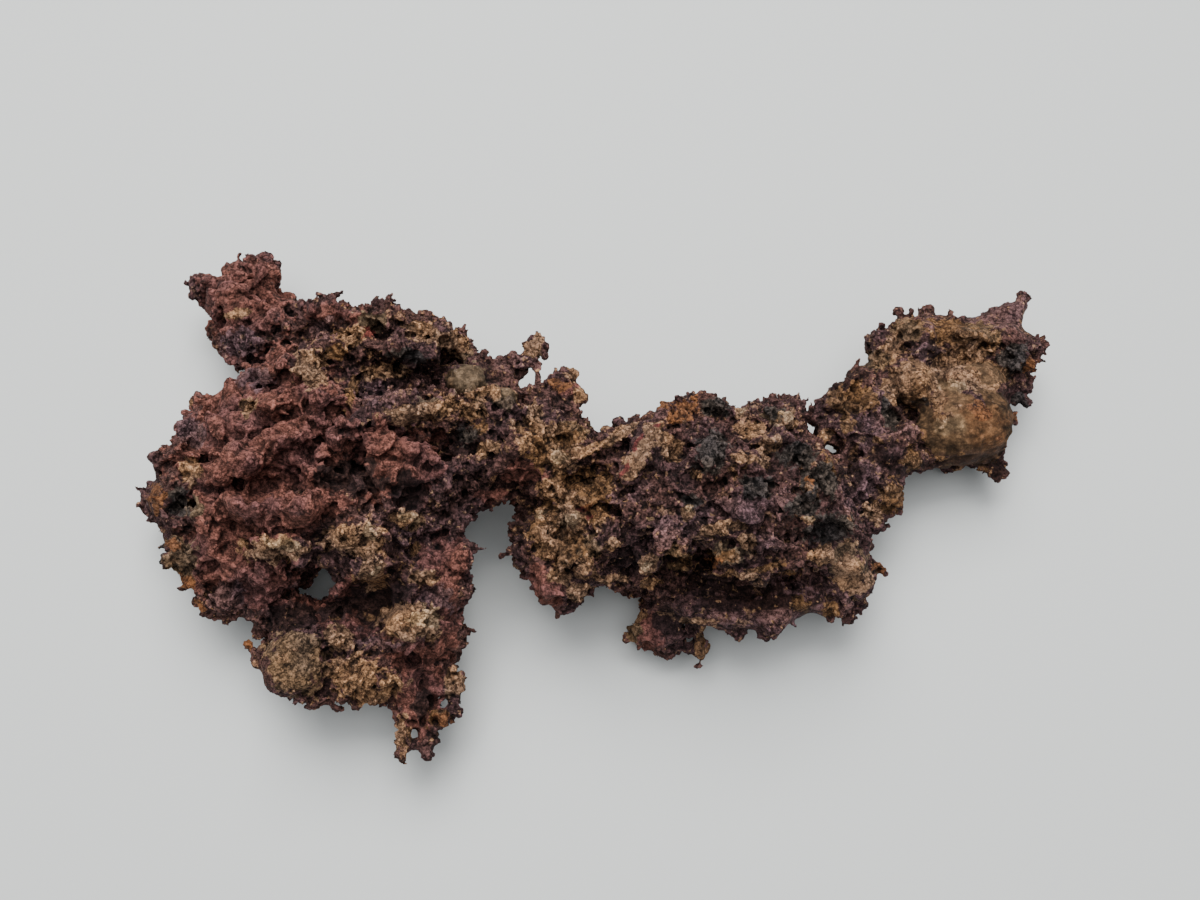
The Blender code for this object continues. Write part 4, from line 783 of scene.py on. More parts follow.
# Streaked ground: across, up, radius across, radius up, the streaks' turn, their spacing and rise.
STREAKS: tuple[tuple[float, ...], ...] = (
    (-90, 37, 12, 9, -6, 2.2, 0.7), (-67, 13, 7, 4, 5, 1.8, 0.9), (-52, 14, 5, 4, -28, 1.6, 0.7),
    (44, -25, 8, 4, -14, 1.8, 0.9), (56, -36, 8, 5, -48, 2.2, 0.8), (102, 34, 7, 5, 24, 1.8, 0.9),
    (20, 9.6, 5, 4, 22, 1.6, 0.7), (-55, 24, 8, 3, 8, 1.6, 0.8), (-2, 0, 10, 4, 30, 2, 0.7),
    (-33, -24, 4, 5, -20, 1.6, 0.5), (92, 6, 12, 10, 24, 2.6, 0.5), (-108, -14, 4, 6, -20, 1.8, 0.6),
)

# Ground whose relief lies low: across, up, radius across, radius up, turn, strength.
CALM: tuple[tuple[float, ...], ...] = (
    (-57.4, -38, 9, 8.4, 20, 1), (-51.6, -25, 3, 5, 10, 1), (62.8, -29.6, 9.4, 6, -62, 1),
    (38, -39.5, 24, 6.6, 4, 1), (15, -44, 8, 6, 0, 1), (-110.4, -12, 5, 5, 0, 1),
    (10.6, -0.8, 3.4, 10.6, -32, 1), (96, 31, 9, 4, 0, 1), (84, 31, 5, 4, 0, 1),
    (-50.4, 8.4, 5.4, 3, 0, 1), (-26.4, 18.4, 7, 4, -6, 1), (35, -37, 16, 4, 0, 1),
    (55, -35, 7, 4, -40, 1), (-48, -6, 6, 4, 0, 1), (3, -12.4, 3, 2.5, 0, 1), (16, -42, 5, 6, 0, 1),
    (25, -49, 2.6, 5, 0, 1), (104, 32, 7, 6, 0, 1), (9.4, -4.2, 2.4, 5.6, -30, 1),
    (13, 4.6, 1.9, 5, -36, 1), (42.2, 2.8, 4, 2, 0, 1), (46.6, 7.6, 2, 2.4, 0, 1),
    (36.6, -16, 4.6, 3.4, -20, 1), (-7, -17.2, 2.6, 2, -20, 1), (-92.5, -15, 7, 4.6, 0, 0.95),
    (-84, -15.6, 5, 4, 20, 0.95), (-73.6, -14.6, 5.6, 5.4, 20, 0.95), (-88.4, -4, 6.4, 5.2, -25, 0.93),
    (-80.5, 11.2, 5.6, 4.4, 0, 0.93), (-78, 3, 6.4, 3.6, 0, 0.93), (-92, 38, 12, 9, 0, 0.75),
    (92, 9, 14, 15, 0, 1), (79, 17, 8, 7, 0, 0.9), (74, 6, 20, 20, 30, 0.6), (84, 30, 14, 6, 0, 0.8),
)

# Stones grown into the skin: across, up, height, radii, turn, smoothness.
STONES: tuple[tuple[float, ...], ...] = (
    (90.8, 5.2, 19.8, 12.2, 8.9, 10, 14, 0.75), (92, 15.6, 21.5, 9.4, 5.4, 6.6, 20, 0.7),
    (79, 16, 24, 5.4, 5.2, 5.2, -12, 0.45), (9.8, -2.6, 49.8, 3.4, 7.4, 3, -30, 0.35),
    (13.8, 5, 49.8, 2.6, 5.2, 2.6, -36, 0.35), (16.8, 1.6, 49.2, 3, 2.4, 2.6, -10, 0.3),
    (-33.2, 17.4, 41.6, 5, 3.9, 4.2, 12, 0.8), (-24.2, 13.2, 43.6, 3.2, 2.6, 3.4, 0, 0.75),
    (-76, -53.4, 25.2, 7.6, 7.8, 7.4, 20, 0.25),
)

# Small limbs that stand off the skin: across, up, height, radii, turn.
LIMBS: tuple[tuple[float, ...], ...] = (
    # the twig by the bridge
    (-15.5, 17.2, 31, 0.9, 3.2, 1.1, 4), (-15.8, 21, 31, 1.3, 1.8, 1.3, 0),
    (-16.4, 25.4, 31, 2.3, 2.2, 2.2, 0), (-18.4, 26.2, 31, 1.3, 1.2, 1.2, 0),
    (-14, 25.8, 31.5, 1.6, 1.5, 1.5, 0), (-16.8, 27.8, 31, 1.2, 1, 1.1, 0),
    (-14.3, 27.4, 31, 1, 1, 1, 0), (-18.6, 23.8, 31, 1.1, 1, 1, 0), (-13.8, 23.4, 31, 1.2, 1, 1, 0),
    (-21.6, 24, 30, 1.1, 1, 1, 0), (-25, 22.8, 30, 1.4, 1, 1, 0), (-29, 24.4, 30, 1.4, 0.9, 1, 0),
    # the second twig
    (-7.2, 18.9, 33, 2, 1.7, 1.8, 0), (-5.9, 14.5, 33, 1.9, 1.6, 1.7, 0),
    (-10.4, 18, 33, 2, 1.7, 1.7, 0), (-4, 13.4, 33, 1.3, 1.1, 1.2, 0), (-9, 14, 34, 1.8, 1.6, 1.7, 0),
    (-8.6, 20, 33, 1.1, 0.9, 1, 0), (-7, 10.6, 34, 1.5, 1.2, 1.4, 0), (-3, 6.2, 34, 0.7, 1.4, 0.8, 0),
    (1.5, 6.5, 34, 0.8, 1.3, 0.8, 0), (-5.4, 8.6, 34, 1, 1.2, 1, 0),
    # the horn and the crest
    (-81.4, 44.3, 25, 1.7, 0.8, 0.9, 15), (-86.8, 48.2, 25, 1.6, 0.9, 1, 0),
    (-97, 41.4, 24.5, 3.4, 2.4, 2.6, -15), (-93.4, 41.4, 24.5, 3.2, 2.6, 2.6, 0),
    (-76, 38.8, 28, 1, 0.8, 0.8, 0), (-43, 34.2, 31, 2.1, 1, 1, -25), (-45, 34.2, 31, 0.8, 1.2, 0.9, 0),
    (-58, 36.4, 32, 0.9, 0.8, 0.8, 0), (-70, 38.4, 31, 2.4, 0.9, 1, 0), (-35.4, 30, 31, 1.2, 0.9, 1, 0),
    # the west and south rims of the west mass
    (-111, -1, 26, 2, 0.8, 0.9, 0), (-103.6, 9.4, 26, 1.4, 0.9, 0.9, 0),
    (-97.4, 14.6, 25, 1, 0.8, 0.8, 0), (-88, -48.6, 17, 1.3, 1.2, 1.2, 0),
    (-86.6, -50.4, 17, 1, 1.4, 1.1, 30), (-85, -52.4, 17, 2.4, 2.4, 2, 10),
    (-82.4, -52.2, 17.5, 2.4, 1.9, 2, 0), (-84, -54.8, 17, 1.4, 1, 1, 0),
    (-101, -38, 19, 1.3, 1.6, 1.2, 20), (-99, -40.8, 19, 1, 1.2, 1, 0), (-72, -64.2, 20, 2, 0.9, 1, 0),
    (-65.6, -64.6, 20, 1.8, 0.9, 1, 0), (-33, -36.6, 26, 1.1, 0.9, 0.9, 0),
    (-31.6, -27, 28, 1.2, 0.7, 0.8, 0),
    # the tail
    (-49.6, -75.6, 17, 1.3, 1.9, 1.3, 0), (-43.2, -76.4, 17, 1.5, 1.7, 1.3, 10),
    (-35, -57, 18, 1.5, 1.9, 1.4, 0), (-36, -63, 18, 1.3, 0.9, 1, 0), (-41.4, -73, 17, 1.6, 1, 1, 0),
    (-35.2, -59.6, 18, 1.7, 1.4, 1.3, 0),
    # the middle mass
    (-21.4, -21.6, 24, 1.6, 1, 1.2, 0), (-20.6, -27.2, 22, 1.7, 1, 1.2, 0),
    (-18.8, -31.6, 22, 1.4, 0.9, 1, 0), (-20, -14.6, 27, 1.2, 1, 1, 0), (-10.6, -41, 20, 0.9, 1.2, 1, 0),
    (31.8, 11.9, 37, 0.6, 1, 0.7, 0), (36.4, 12.2, 37, 0.8, 1, 0.8, 0), (8, 8.4, 37, 1.2, 0.8, 0.8, 0),
    (67.3, -22.8, 25, 0.9, 1.4, 0.9, 10), (64.4, -43, 19, 1.1, 1.2, 1, 0),
    (71.2, -30.6, 20, 0.9, 1.4, 0.9, 0), (57.6, -42.6, 18, 1.2, 0.8, 0.8, 0),
    (12.4, 9, 38, 1, 0.8, 0.8, 0), (17.6, 11, 38, 1, 1, 0.9, 0), (41, -46.6, 18, 2, 0.8, 0.9, 0),
    (35.4, -45.8, 18, 1.6, 0.7, 0.8, 0), (6.4, -47, 10, 1, 1.7, 1, 0), (13, -52, 10, 1.4, 0.8, 0.9, 0),
    (18, -53.6, 10, 1.2, 0.8, 0.9, 0), (24.6, -54, 10, 1.4, 0.8, 0.9, 0),
    # the east mass
    (66.8, 28, 20, 0.8, 1.2, 0.8, 0), (68.4, 28.6, 20, 0.8, 0.9, 0.8, 0),
    (70.4, 31.2, 20, 1.1, 0.9, 0.9, 0), (74.6, 34.6, 20, 1.6, 1.4, 1.4, 0),
    (77.8, 34.8, 20, 0.8, 1.2, 0.8, 0), (82, 35.2, 20, 1.8, 1.4, 1.4, 0), (98.8, 35.2, 19, 1, 1, 0.9, 0),
    (101.6, 36.2, 19, 1.5, 0.9, 0.9, 20), (106.6, 38, 18, 1.4, 1, 1.1, 0),
    (105.4, 36, 18, 1.8, 1.6, 1.3, 0), (110.6, 25.4, 18, 1.2, 1, 1, 0),
    (109.6, 27.2, 18, 1, 0.9, 0.9, 0), (103.2, 15.6, 17, 1.4, 0.9, 0.9, -45),
    (105.2, 13.7, 17, 2.7, 1.4, 1, -48), (106.9, 12, 17, 1.4, 1.2, 0.9, -40),
    (103.4, 9, 17, 1.5, 0.7, 0.8, 30), (103.8, 7, 17, 0.9, 1.2, 0.8, 0),
    (98.4, -4.6, 12, 2.4, 1.6, 1.6, 0), (100.6, -5.8, 12, 1.7, 1.6, 1.5, 0),
    (99.2, -7.4, 12, 1.2, 0.9, 1, 0), (101.2, -3.4, 12, 1, 1, 1, 0), (95.2, -4.8, 13, 1.4, 0.7, 0.8, 0),
    (53, 8, 24, 1.6, 1.4, 1.4, 0), (56.6, 2.6, 23, 1.4, 1.1, 1.1, 0),
    (74.8, -15.6, 17, 1.2, 0.9, 0.9, 0), (71.6, -19, 17, 1.2, 0.8, 0.9, 0),
)

# Gaps that the table shows through: across, up, radius across, radius up, turn.
GAPS: tuple[tuple[float, ...], ...] = (
    (-46.3, -71.8, 0.9, 0.8, 0), (-41.5, -68, 0.8, 0.7, 0), (-47, -69, 0.5, 0.7, 0),
    (-38.8, -63.4, 0.7, 1.2, -20), (-83.6, -42.8, 1.3, 0.8, 30), (21.5, -43.6, 0.5, 1.8, -12),
    (22.5, -47.8, 0.6, 2.6, -10), (57.2, 0.4, 1.1, 0.6, -25), (59.9, 0.9, 0.7, 0.4, 40),
    (58.6, -0.8, 0.5, 0.6, 0), (66.9, 21.2, 0.9, 0.6, 20), (-17.9, 17.8, 1.6, 1.1, 25),
    (-69.4, -32.2, 2.5, 2.1, 20), (-68.4, -33.6, 1.3, 1.7, 0), (-70.6, -34.6, 1.9, 0.9, 15),
    (-71.6, -36.2, 0.9, 0.6, 0), (-73.2, -35, 1.9, 0.7, 0), (101.6, 14, 0.8, 0.6, 0),
    (-46.4, -76.6, 0.8, 1.8, 0), (52.8, 4.6, 0.6, 1.4, 40),
)


@dataclass(frozen=True)
class Survey:
    """Reads what lies at each point from the tables, sizes in millimetres."""

    # How far the patches' edges wander and fray, and how soft they are.
    wander: float = 1.2
    wander_size: float = 4.0
    fray: float = 0.3
    fray_size: float = 1.5
    soft_edge: tuple[float, float] = (-0.22, 0.42)
    # The plan's squares, and how far behind its square's front a point starts and ends to be hidden.
    cell: float = 2.0
    grid: int = 1000
    behind: tuple[float, float] = (9.6, 20.8)
    # The clouds of ground on the hidden sides.
    wild_size: float = 15.0
    wild_strength: float = 0.9
    wild_least: float = 0.42
    # The calm patches' edge, and how calm brick is.
    calm_edge: tuple[float, float] = (0.75, 1.15)
    brick_calm: float = 0.82
    # How square the stones are, and the tongues of crust that lap over them.
    square: float = 2.5
    lap: float = 0.16
    lap_size: float = 5.0
    lap_edge: tuple[float, float] = (1.02, 1.16)
    # The relief: its wandering edges, its ragged plates, bowls and clefts, and its streaks.
    relief_wander: float = 0.7
    relief_wander_size: float = 3.0
    ragged: float = 0.5
    ragged_size: float = 2.4
    plate_tilt: float = 0.55
    plate_turn: float = 2.4
    plate_ragged: float = 0.35
    plate_edge: tuple[float, float] = (0.55, 1.0)
    bowl_edge: tuple[float, float] = (0.45, 1.15)
    cleft_edge: tuple[float, float] = (0.1, 1.1)
    lift: float = 1.8
    sink: float = 1.6
    streak_length: float = 4.5
    streak_slope: float = 0.2
    streak_edge: tuple[float, float] = (0.7, 1.1)
    # How far round a gap the skin stays low.
    gap_margin: float = 1.2
    gap_edge: tuple[float, float] = (0.85, 1.15)

    def seen(self, points: np.ndarray) -> np.ndarray:
        """Finds how far each point is on the side that the eye sees.

        Args:
            points: Rows of x, y, z.

        Returns:
            One where the point lies at or near the front of what its square of the plan holds, and
            zero where it is well behind that.
        """
        depth = (EYE.place() - points) @ EYE.back()
        square = np.floor(EYE.plan_of(points) / self.cell).astype(np.int64) + self.grid // 2
        key = square[:, 0] * self.grid + square[:, 1]
        front = np.full(self.grid**2, np.inf)
        np.minimum.at(front, key, depth)
        return 1.0 - ease(depth - front[key], *self.behind)

    def plan(self, points: np.ndarray, wander: float, size: float) -> np.ndarray:
        """Finds where points are seen in the plan, pushed about by clouds.

        Args:
            points: Rows of x, y, z.
            wander: How far the clouds push them.
            size: The clouds' size.

        Returns:
            Rows of across and up.
        """
        plan = EYE.plan_of(points)
        plan[:, 0] += wander * clouds(points, size, 11)
        plan[:, 1] += wander * clouds(points, size, 12)
        return plan

    @staticmethod
    def away(plan: np.ndarray, row: tuple[float, ...]) -> np.ndarray:
        """Distances from a patch's middle, one at its edge.

        Args:
            plan: Rows of across and up.
            row: The patch: across, up, radius across, radius up, turn.

        Returns:
            One number for each place.
        """
        across, up, wide, high, turn = row[:5]
        c, s = math.cos(math.radians(turn)), math.sin(math.radians(turn))
        x, y = plan[:, 0] - across, plan[:, 1] - up
        return np.sqrt(((x * c + y * s) / wide) ** 2 + ((y * c - x * s) / high) ** 2)

    def grounds(self, points: np.ndarray) -> dict[Ground, np.ndarray]:
        """Finds how much of each ground lies at each point.

        Out of the eye's sight the grounds lie in clouds of their own.

        Args:
            points: Rows of x, y, z.

        Returns:
            For each ground one number from 0 to 1 for each point.
        """
        plan = self.plan(points, self.wander, self.wander_size)
        fray = self.fray * clouds(points, self.fray_size, 13, 2)
        seen = self.seen(points)
        found = {}
        for number, (ground, patches) in enumerate(PATCHES.items()):
            score = np.full(len(points), -1.0)
            for row in patches:
                score = np.maximum(score, 1.0 - self.away(plan, row))
            wild = -1.0
            if ground in WILD:
                wild = clouds(points, self.wild_size, 31 + number) * self.wild_strength - self.wild_least
            score = score * seen + wild * (1.0 - seen) + fray
            found[ground] = ease(score, *self.soft_edge)
        return found

    def calm(self, points: np.ndarray) -> np.ndarray:
        """Finds how low the grains lie at each point.

        Args:
            points: Rows of x, y, z.

        Returns:
            One number for each point, from 0 for full grains to 1 for a smooth skin.
        """
        plan = self.plan(points, self.wander, self.wander_size)
        calm = np.zeros(len(points))
        for *row, strength in CALM:
            calm = np.maximum(calm, strength * (1.0 - ease(self.away(plan, row), *self.calm_edge)))
        calm = np.maximum(calm * self.seen(points), self.stone(points))
        return np.maximum(calm, self.brick_calm * self.grounds(points)[Ground.BRICK])

    def stone(self, points: np.ndarray) -> np.ndarray:
        """Finds how much each point belongs to a stone.

        The crust laps over a stone's edge in tongues.

        Args:
            points: Rows of x, y, z.

        Returns:
            For each point the stone's smoothness on a stone, 0 off the stones, and between at an edge.
        """
        cover = np.zeros(len(points))
        lap = self.lap * clouds(points, self.lap_size, 15, 3)
        for across, up, height, wide, high, tall, turn, smooth in STONES:
            centre = EYE.at(np.array([[across, up]]), np.array([height]))[0]
            c, s = math.cos(math.radians(turn)), math.sin(math.radians(turn))
            x, y, z = (points - centre).T
            sides = np.abs([(x * c + y * s) / wide, (y * c - x * s) / high, z / tall]) ** self.square
            away = sides.sum(axis=0) ** (1.0 / self.square) + lap
            cover = np.maximum(cover, smooth * (1.0 - ease(away, *self.lap_edge)))
        return cover

    def sculpted(self, points: np.ndarray) -> np.ndarray:
        """Finds how far the listed relief moves each point towards the eye.

        A lump is a ragged plate with a bevelled edge, its top tilted a way of its own, and a hollow is
        a ragged bowl. A crease is rounded over a ridge and sharp along a cleft. Streaks are long
        ridges of noise.

        Args:
            points: Rows of x, y, z.

        Returns:
            One rise in millimetres for each point, under 0 for a fall.
        """
        plan = self.plan(points, self.relief_wander, self.relief_wander_size)
        ragged = self.ragged * clouds(points, self.ragged_size, 17, 2)
        high, low = np.zeros(len(points)), np.zeros(len(points))
        for number, (*row, rise) in enumerate(SWELLS):
            away = self.away(plan, row)
            if rise > 0:
                turn = self.plate_turn * number
                way = np.array([math.cos(turn), math.sin(turn)]) / max(row[2], row[3])
                top = 1.0 + self.plate_tilt * np.clip((plan - row[:2]) @ way, -1.0, 1.0)
                edge = ease(away + self.plate_ragged * ragged, *self.plate_edge)
                high = np.maximum(high, rise * top * (1.0 - edge))
            else:
                low = np.maximum(low, -rise * (1.0 - ease(away + ragged, *self.bowl_edge)))
        for rise, width, line in CREASES:
            away = self.line_away(plan, np.array(line)) / width
            if rise > 0:
                high = np.maximum(high, rise * np.sqrt(np.clip(1.0 - away**2, 0.0, 1.0)))
            else:
                low = np.maximum(low, -rise * (1.0 - ease(away, *self.cleft_edge)))
        streak = np.zeros(len(points))
        for *row, spacing, rise in STREAKS:
            c, s = math.cos(math.radians(row[4])), math.sin(math.radians(row[4]))
            along, across = plan @ [c, s] / self.streak_length, plan @ [-s, c]
            long = np.stack([along, across, self.streak_slope * points[:, 2]], axis=1)
            ridge = 0.5 - np.abs(clouds(long, spacing, 81, 2))
            streak += rise * ridge * (1.0 - ease(self.away(plan, row), *self.streak_edge))
        return (self.lift * high - self.sink * low + streak) * self.seen(points)

    @staticmethod
    def line_away(plan: np.ndarray, line: np.ndarray) -> np.ndarray:
        """Distances from a line of straight stretches.

        Args:
            plan: Rows of across and up.
            line: The line's corners, as rows of across and up.

        Returns:
            One distance in millimetres for each place.
        """
        away = np.full(len(plan), np.inf)
        for start, end in zip(line[:-1], line[1:]):
            run = end - start
            along = np.clip((plan - start) @ run / (run @ run), 0.0, 1.0)
            away = np.minimum(away, np.linalg.norm(plan - start - along[:, None] * run, axis=1))
        return away

    def near_gap(self, points: np.ndarray) -> np.ndarray:
        """Finds how near each point is to a gap.

        Args:
            points: Rows of x, y, z.

        Returns:
            One at the gaps and within about the margin of them, and zero elsewhere.
        """
        plan = EYE.plan_of(points)
        near = np.zeros(len(points))
        for across, up, wide, high, turn in GAPS:
            away = self.away(plan, (across, up, wide + self.gap_margin, high + self.gap_margin, turn))
            near = np.maximum(near, 1.0 - ease(away, *self.gap_edge))
        return near


SURVEY = Survey()


@dataclass
class Skin:
    """The nugget's skin, from the CAD solid down to its grains, sizes in millimetres."""

    # The fineness of the three fusings, and what the thinning leaves.
    first_voxel: float = 0.8
    second_voxel: float = 0.6
    last_voxel: float = 0.48
    most_triangles: int = 950_000
    unseen_lean: float = -0.25
    unseen_share: float = 0.55
    soften_rounds: int = 6
    # The drill that cuts the gaps.
    drill_margin: float = 0.5
    drill_height: float = 20.0
    drill_length: float = 90.0
    drill_voxel: float = 0.4
    # How far the blocks' lattice is bent, and the calm from which crags and ledges fade.
    bend: float = 1.1
    bend_size: float = 4.0
    flat_from: float = 0.82
    # How much less rises on calm ground, on a stone and beside a gap.
    hush: float = 0.85
    stone_hush: float = 0.95
    gap_hush: float = 0.6
    # Lumps, crags, ledges, knobs and clefts, each with its size and its rise.
    lump_size: float = 7.4
    lump_rise: float = 2.6
    lump_sunk: float = 0.55
    crag_size: float = 10.0
    crag_rise: float = 4.4
    crag_gap: float = 0.14
    crag_east: float = 0.45
    crag_fade: tuple[float, float] = (26.0, 44.0)
    ledge_size: float = 10.0
    ledge_rise: float = 1.5
    knob_size: float = 3.2
    knob_rise: float = 1.7
    knob_sunk: float = 0.5
    cleft_size: float = 14.0
    cleft_depth: float = 3.0
    cleft_width: float = 0.06
    # Sprigs: how many, their lumps' sizes and shapes, how they wander, and where they stand.
    sprig_count: int = 1300
    sprig_links: int = 4
    sprig_step: float = 0.8
    sprig_sizes: tuple[float, ...] = (0.7, 0.95, 1.3)
    sprig_shares: tuple[float, ...] = (0.5, 0.35, 0.15)
    sprig_least: tuple[float, ...] = (0.5, 0.7, 0.8)
    sprig_most: tuple[float, ...] = (0.8, 1.2, 1.4)
    sprig_taper: tuple[float, float] = (0.74, 1.0)
    sprig_lean: float = 0.3
    sprig_wander: float = 0.75
    sprig_clump: float = 12.0
    sprig_clump_edge: tuple[float, float] = (-0.2, 0.5)
    sprig_sparse: float = 0.15
    sprig_anywhere: float = 0.06
    sprig_hush: float = 0.9
    rim_width: float = 0.4
    rim_height: tuple[float, float] = (4.0, 9.0)
    # Crumbs: how many, their sizes and shapes, and where they lie.
    crumb_count: int = 4200
    crumb_size: float = 0.8
    crumb_spread: float = 0.32
    crumb_shape: tuple[float, float] = (0.55, 1.45)
    crumb_lean: float = 0.6
    crumb_stand: float = 0.2
    crumb_clump: float = 7.0
    crumb_clump_edge: tuple[float, float] = (-0.5, 0.6)
    crumb_on_tan: float = 0.5
    crumb_anywhere: float = 0.1
    # Crystal grains, and the grit between them.
    grain_size: float = 1.3
    grain_rise: float = 0.5
    grain_sunk: float = 0.6
    grit_size: float = 0.9
    grit_rise: float = 0.16
    grit_least: float = 0.3
    # The share that is left of what reaches past the solid's box.
    past_box: float = 0.35
    # The stones' facets and bumps.
    stone_facet: float = 8.0
    stone_rise: float = 1.4
    stone_sunk: float = 0.6
    stone_bump: float = 0.35
    stone_bump_size: float = 4.0
    # Each relief written as an attribute: its name, how often the form is smoothed, and what rise counts as
    # 1. The material paints shade into the hollows by them.
    reliefs: tuple[tuple[str, int, float], ...] = (("relief", 12, 0.5), ("depth", 70, 1.6))
    seed: int = 4

    def grow(self) -> bpy.types.Object:
        """Grows the whole skin, step by step.

        Returns:
            One closed object, with all its grains.
        """
        obj = self.solid()
        self.cut_gaps(obj)
        fuse(obj, self.first_voxel)
        soften(obj, self.soften_rounds)
        points = points_of(obj)
        put_points(obj, points + EYE.back() * SURVEY.sculpted(points)[:, None])
        fuse(obj, self.second_voxel)
        self.raise_knobs(obj)
        for limb in (self.stones(), self.limbs(), self.sprigs(obj), self.crumbs(obj)):
            join(obj, limb)
        fuse(obj, self.last_voxel)
        obj = drop_loose(obj)
        self.raise_grains(obj)
        points, normals = points_of(obj), normals_of(obj)
        unseen = (SURVEY.seen(points) < 0.5) | (normals @ EYE.back() < self.unseen_lean)
        every = len(obj.data.loops) - 2 * len(obj.data.polygons)
        thin(obj, int(every * (1.0 - self.unseen_share * unseen.mean())), unseen)
        thin(obj, self.most_triangles)
        self.keep_in_box(obj)
        return obj

    def solid(self) -> bpy.types.Object:
        """Copies the CAD node and merges its loose triangles.

        Returns:
            The copy, one closed object.
        """
        node = next(o for o in bpy.context.scene.objects if o.get("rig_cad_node") == NODE)
        data = node.data.copy()
        data.materials.clear()
        mesh = bmesh.new()
        mesh.from_mesh(data)
        bmesh.ops.remove_doubles(mesh, verts=mesh.verts, dist=1e-7)
        mesh.to_mesh(data)
        mesh.free()
        obj = bpy.data.objects.new("nugget_skin", data)
        bpy.context.scene.collection.objects.link(obj)
        return obj

    def cut_gaps(self, obj: bpy.types.Object) -> None:
        """Drills the gaps, each an ellipsoid drawn out along the eye's line.

        Each radius has a margin, as the relief narrows the gap again.

        Args:
            obj: The skin.
        """
        rows = np.array(GAPS)
        centres = EYE.at(rows[:, :2], np.full(len(rows), self.drill_height))
        across, up = rows[:, 2] + self.drill_margin, rows[:, 3] + self.drill_margin
        radii = np.stack([across, up, np.full(len(rows), self.drill_length)], axis=1)
        lines = turns_to(EYE.place() - centres)
        spin = np.radians(rows[:, 4])
        first = np.cos(spin)[:, None] * [1.0, 0.0, 0.0] + np.sin(spin)[:, None] * EYE.up()
        first -= (first * lines[:, :, 2]).sum(axis=1, keepdims=True) * lines[:, :, 2]
        first /= np.linalg.norm(first, axis=1, keepdims=True)
        lines[:, :, 0], lines[:, :, 1] = first, np.cross(lines[:, :, 2], first)
        drill = lumps("gap_drill", centres, radii, lines, 3)
        fuse(drill, self.drill_voxel)
        boolean = obj.modifiers.new("gaps", "BOOLEAN")
        boolean.operation = "DIFFERENCE"
        boolean.solver = "EXACT"
        boolean.object = drill
        settle(obj)
        bpy.data.objects.remove(drill)

    def raise_knobs(self, obj: bpy.types.Object) -> None:
        """Raises blocks and knobs along the skin's normals and sinks clefts, less on calm ground.

        Args:
            obj: The skin.
        """
        points, normals = points_of(obj), normals_of(obj)
        calm = SURVEY.calm(points)
        push = np.stack([clouds(points, self.bend_size, seed, 2) for seed in (21, 22, 23)], axis=1)
        bent = points + self.bend * push
        flat = 1.0 - ease(calm, self.flat_from, 1.0)
        lump = blocks(bent, self.lump_size, 1) - self.lump_sunk
        rise = self.lump_rise * lump * (1.0 - self.hush * calm**2)
        crag = blocks(bent, self.crag_size, 3, self.crag_gap) - self.lump_sunk
        west = ease(-points[:, 0], *self.crag_fade)
        rise += self.crag_rise * crag * flat * (self.crag_east + (1.0 - self.crag_east) * west)
        rise += self.ledge_rise * ledges(bent, self.ledge_size, 27) * flat
        rise += self.knob_rise * (blocks(bent, self.knob_size, 5) - self.knob_sunk) * (1.0 - calm)
        cleft = np.abs(clouds(bent, self.cleft_size, 9, 3))
        rise -= self.cleft_depth * (1.0 - ease(cleft, 0.0, self.cleft_width)) * (1.0 - calm)
        beside_gap = 1.0 - self.gap_hush * SURVEY.near_gap(points)
        rise *= (1.0 - self.stone_hush * SURVEY.stone(points)) * beside_gap
        put_points(obj, points + normals * rise[:, None])

    def stones(self) -> bpy.types.Object:
        """Makes the stones, as rounded blocks with facets and bumps.

        Returns:
            One object that holds them all.
        """
        obj = self.placed("stones", STONES, 5, SURVEY.square)
        points, normals = points_of(obj), normals_of(obj)
        rise = self.stone_rise * (blocks(points, self.stone_facet, 91) - self.stone_sunk)
        rise += self.stone_bump * clouds(points, self.stone_bump_size, 95, 3)
        put_points(obj, points + normals * rise[:, None])
        return obj

    def limbs(self) -> bpy.types.Object:
        """The listed small limbs, as ellipsoids."""
        return self.placed("limbs", LIMBS, 3)

    def placed(
        self, name: str, rows: tuple[tuple[float, ...], ...], level: int, square: float = 2.0
    ) -> bpy.types.Object:
        """Makes an ellipsoid for each row of across, up, height, three radii and turn.

        Args:
            name: The object's name.
            rows: The ellipsoids.
            level: How many points they have.
            square: 2 for ellipsoids and more for rounded blocks.

        Returns:
            One object that holds them all.
        """
        table = np.array(rows)
        centres = EYE.at(table[:, :2], table[:, 2])
        spin = np.radians(table[:, 6])
        turns = np.zeros((len(table), 3, 3))
        turns[:, 0, 0], turns[:, 0, 1] = np.cos(spin), -np.sin(spin)
        turns[:, 1, 0], turns[:, 1, 1] = np.sin(spin), np.cos(spin)
        turns[:, 2, 2] = 1.0
        return lumps(name, centres, table[:, 3:6], turns, level, square)

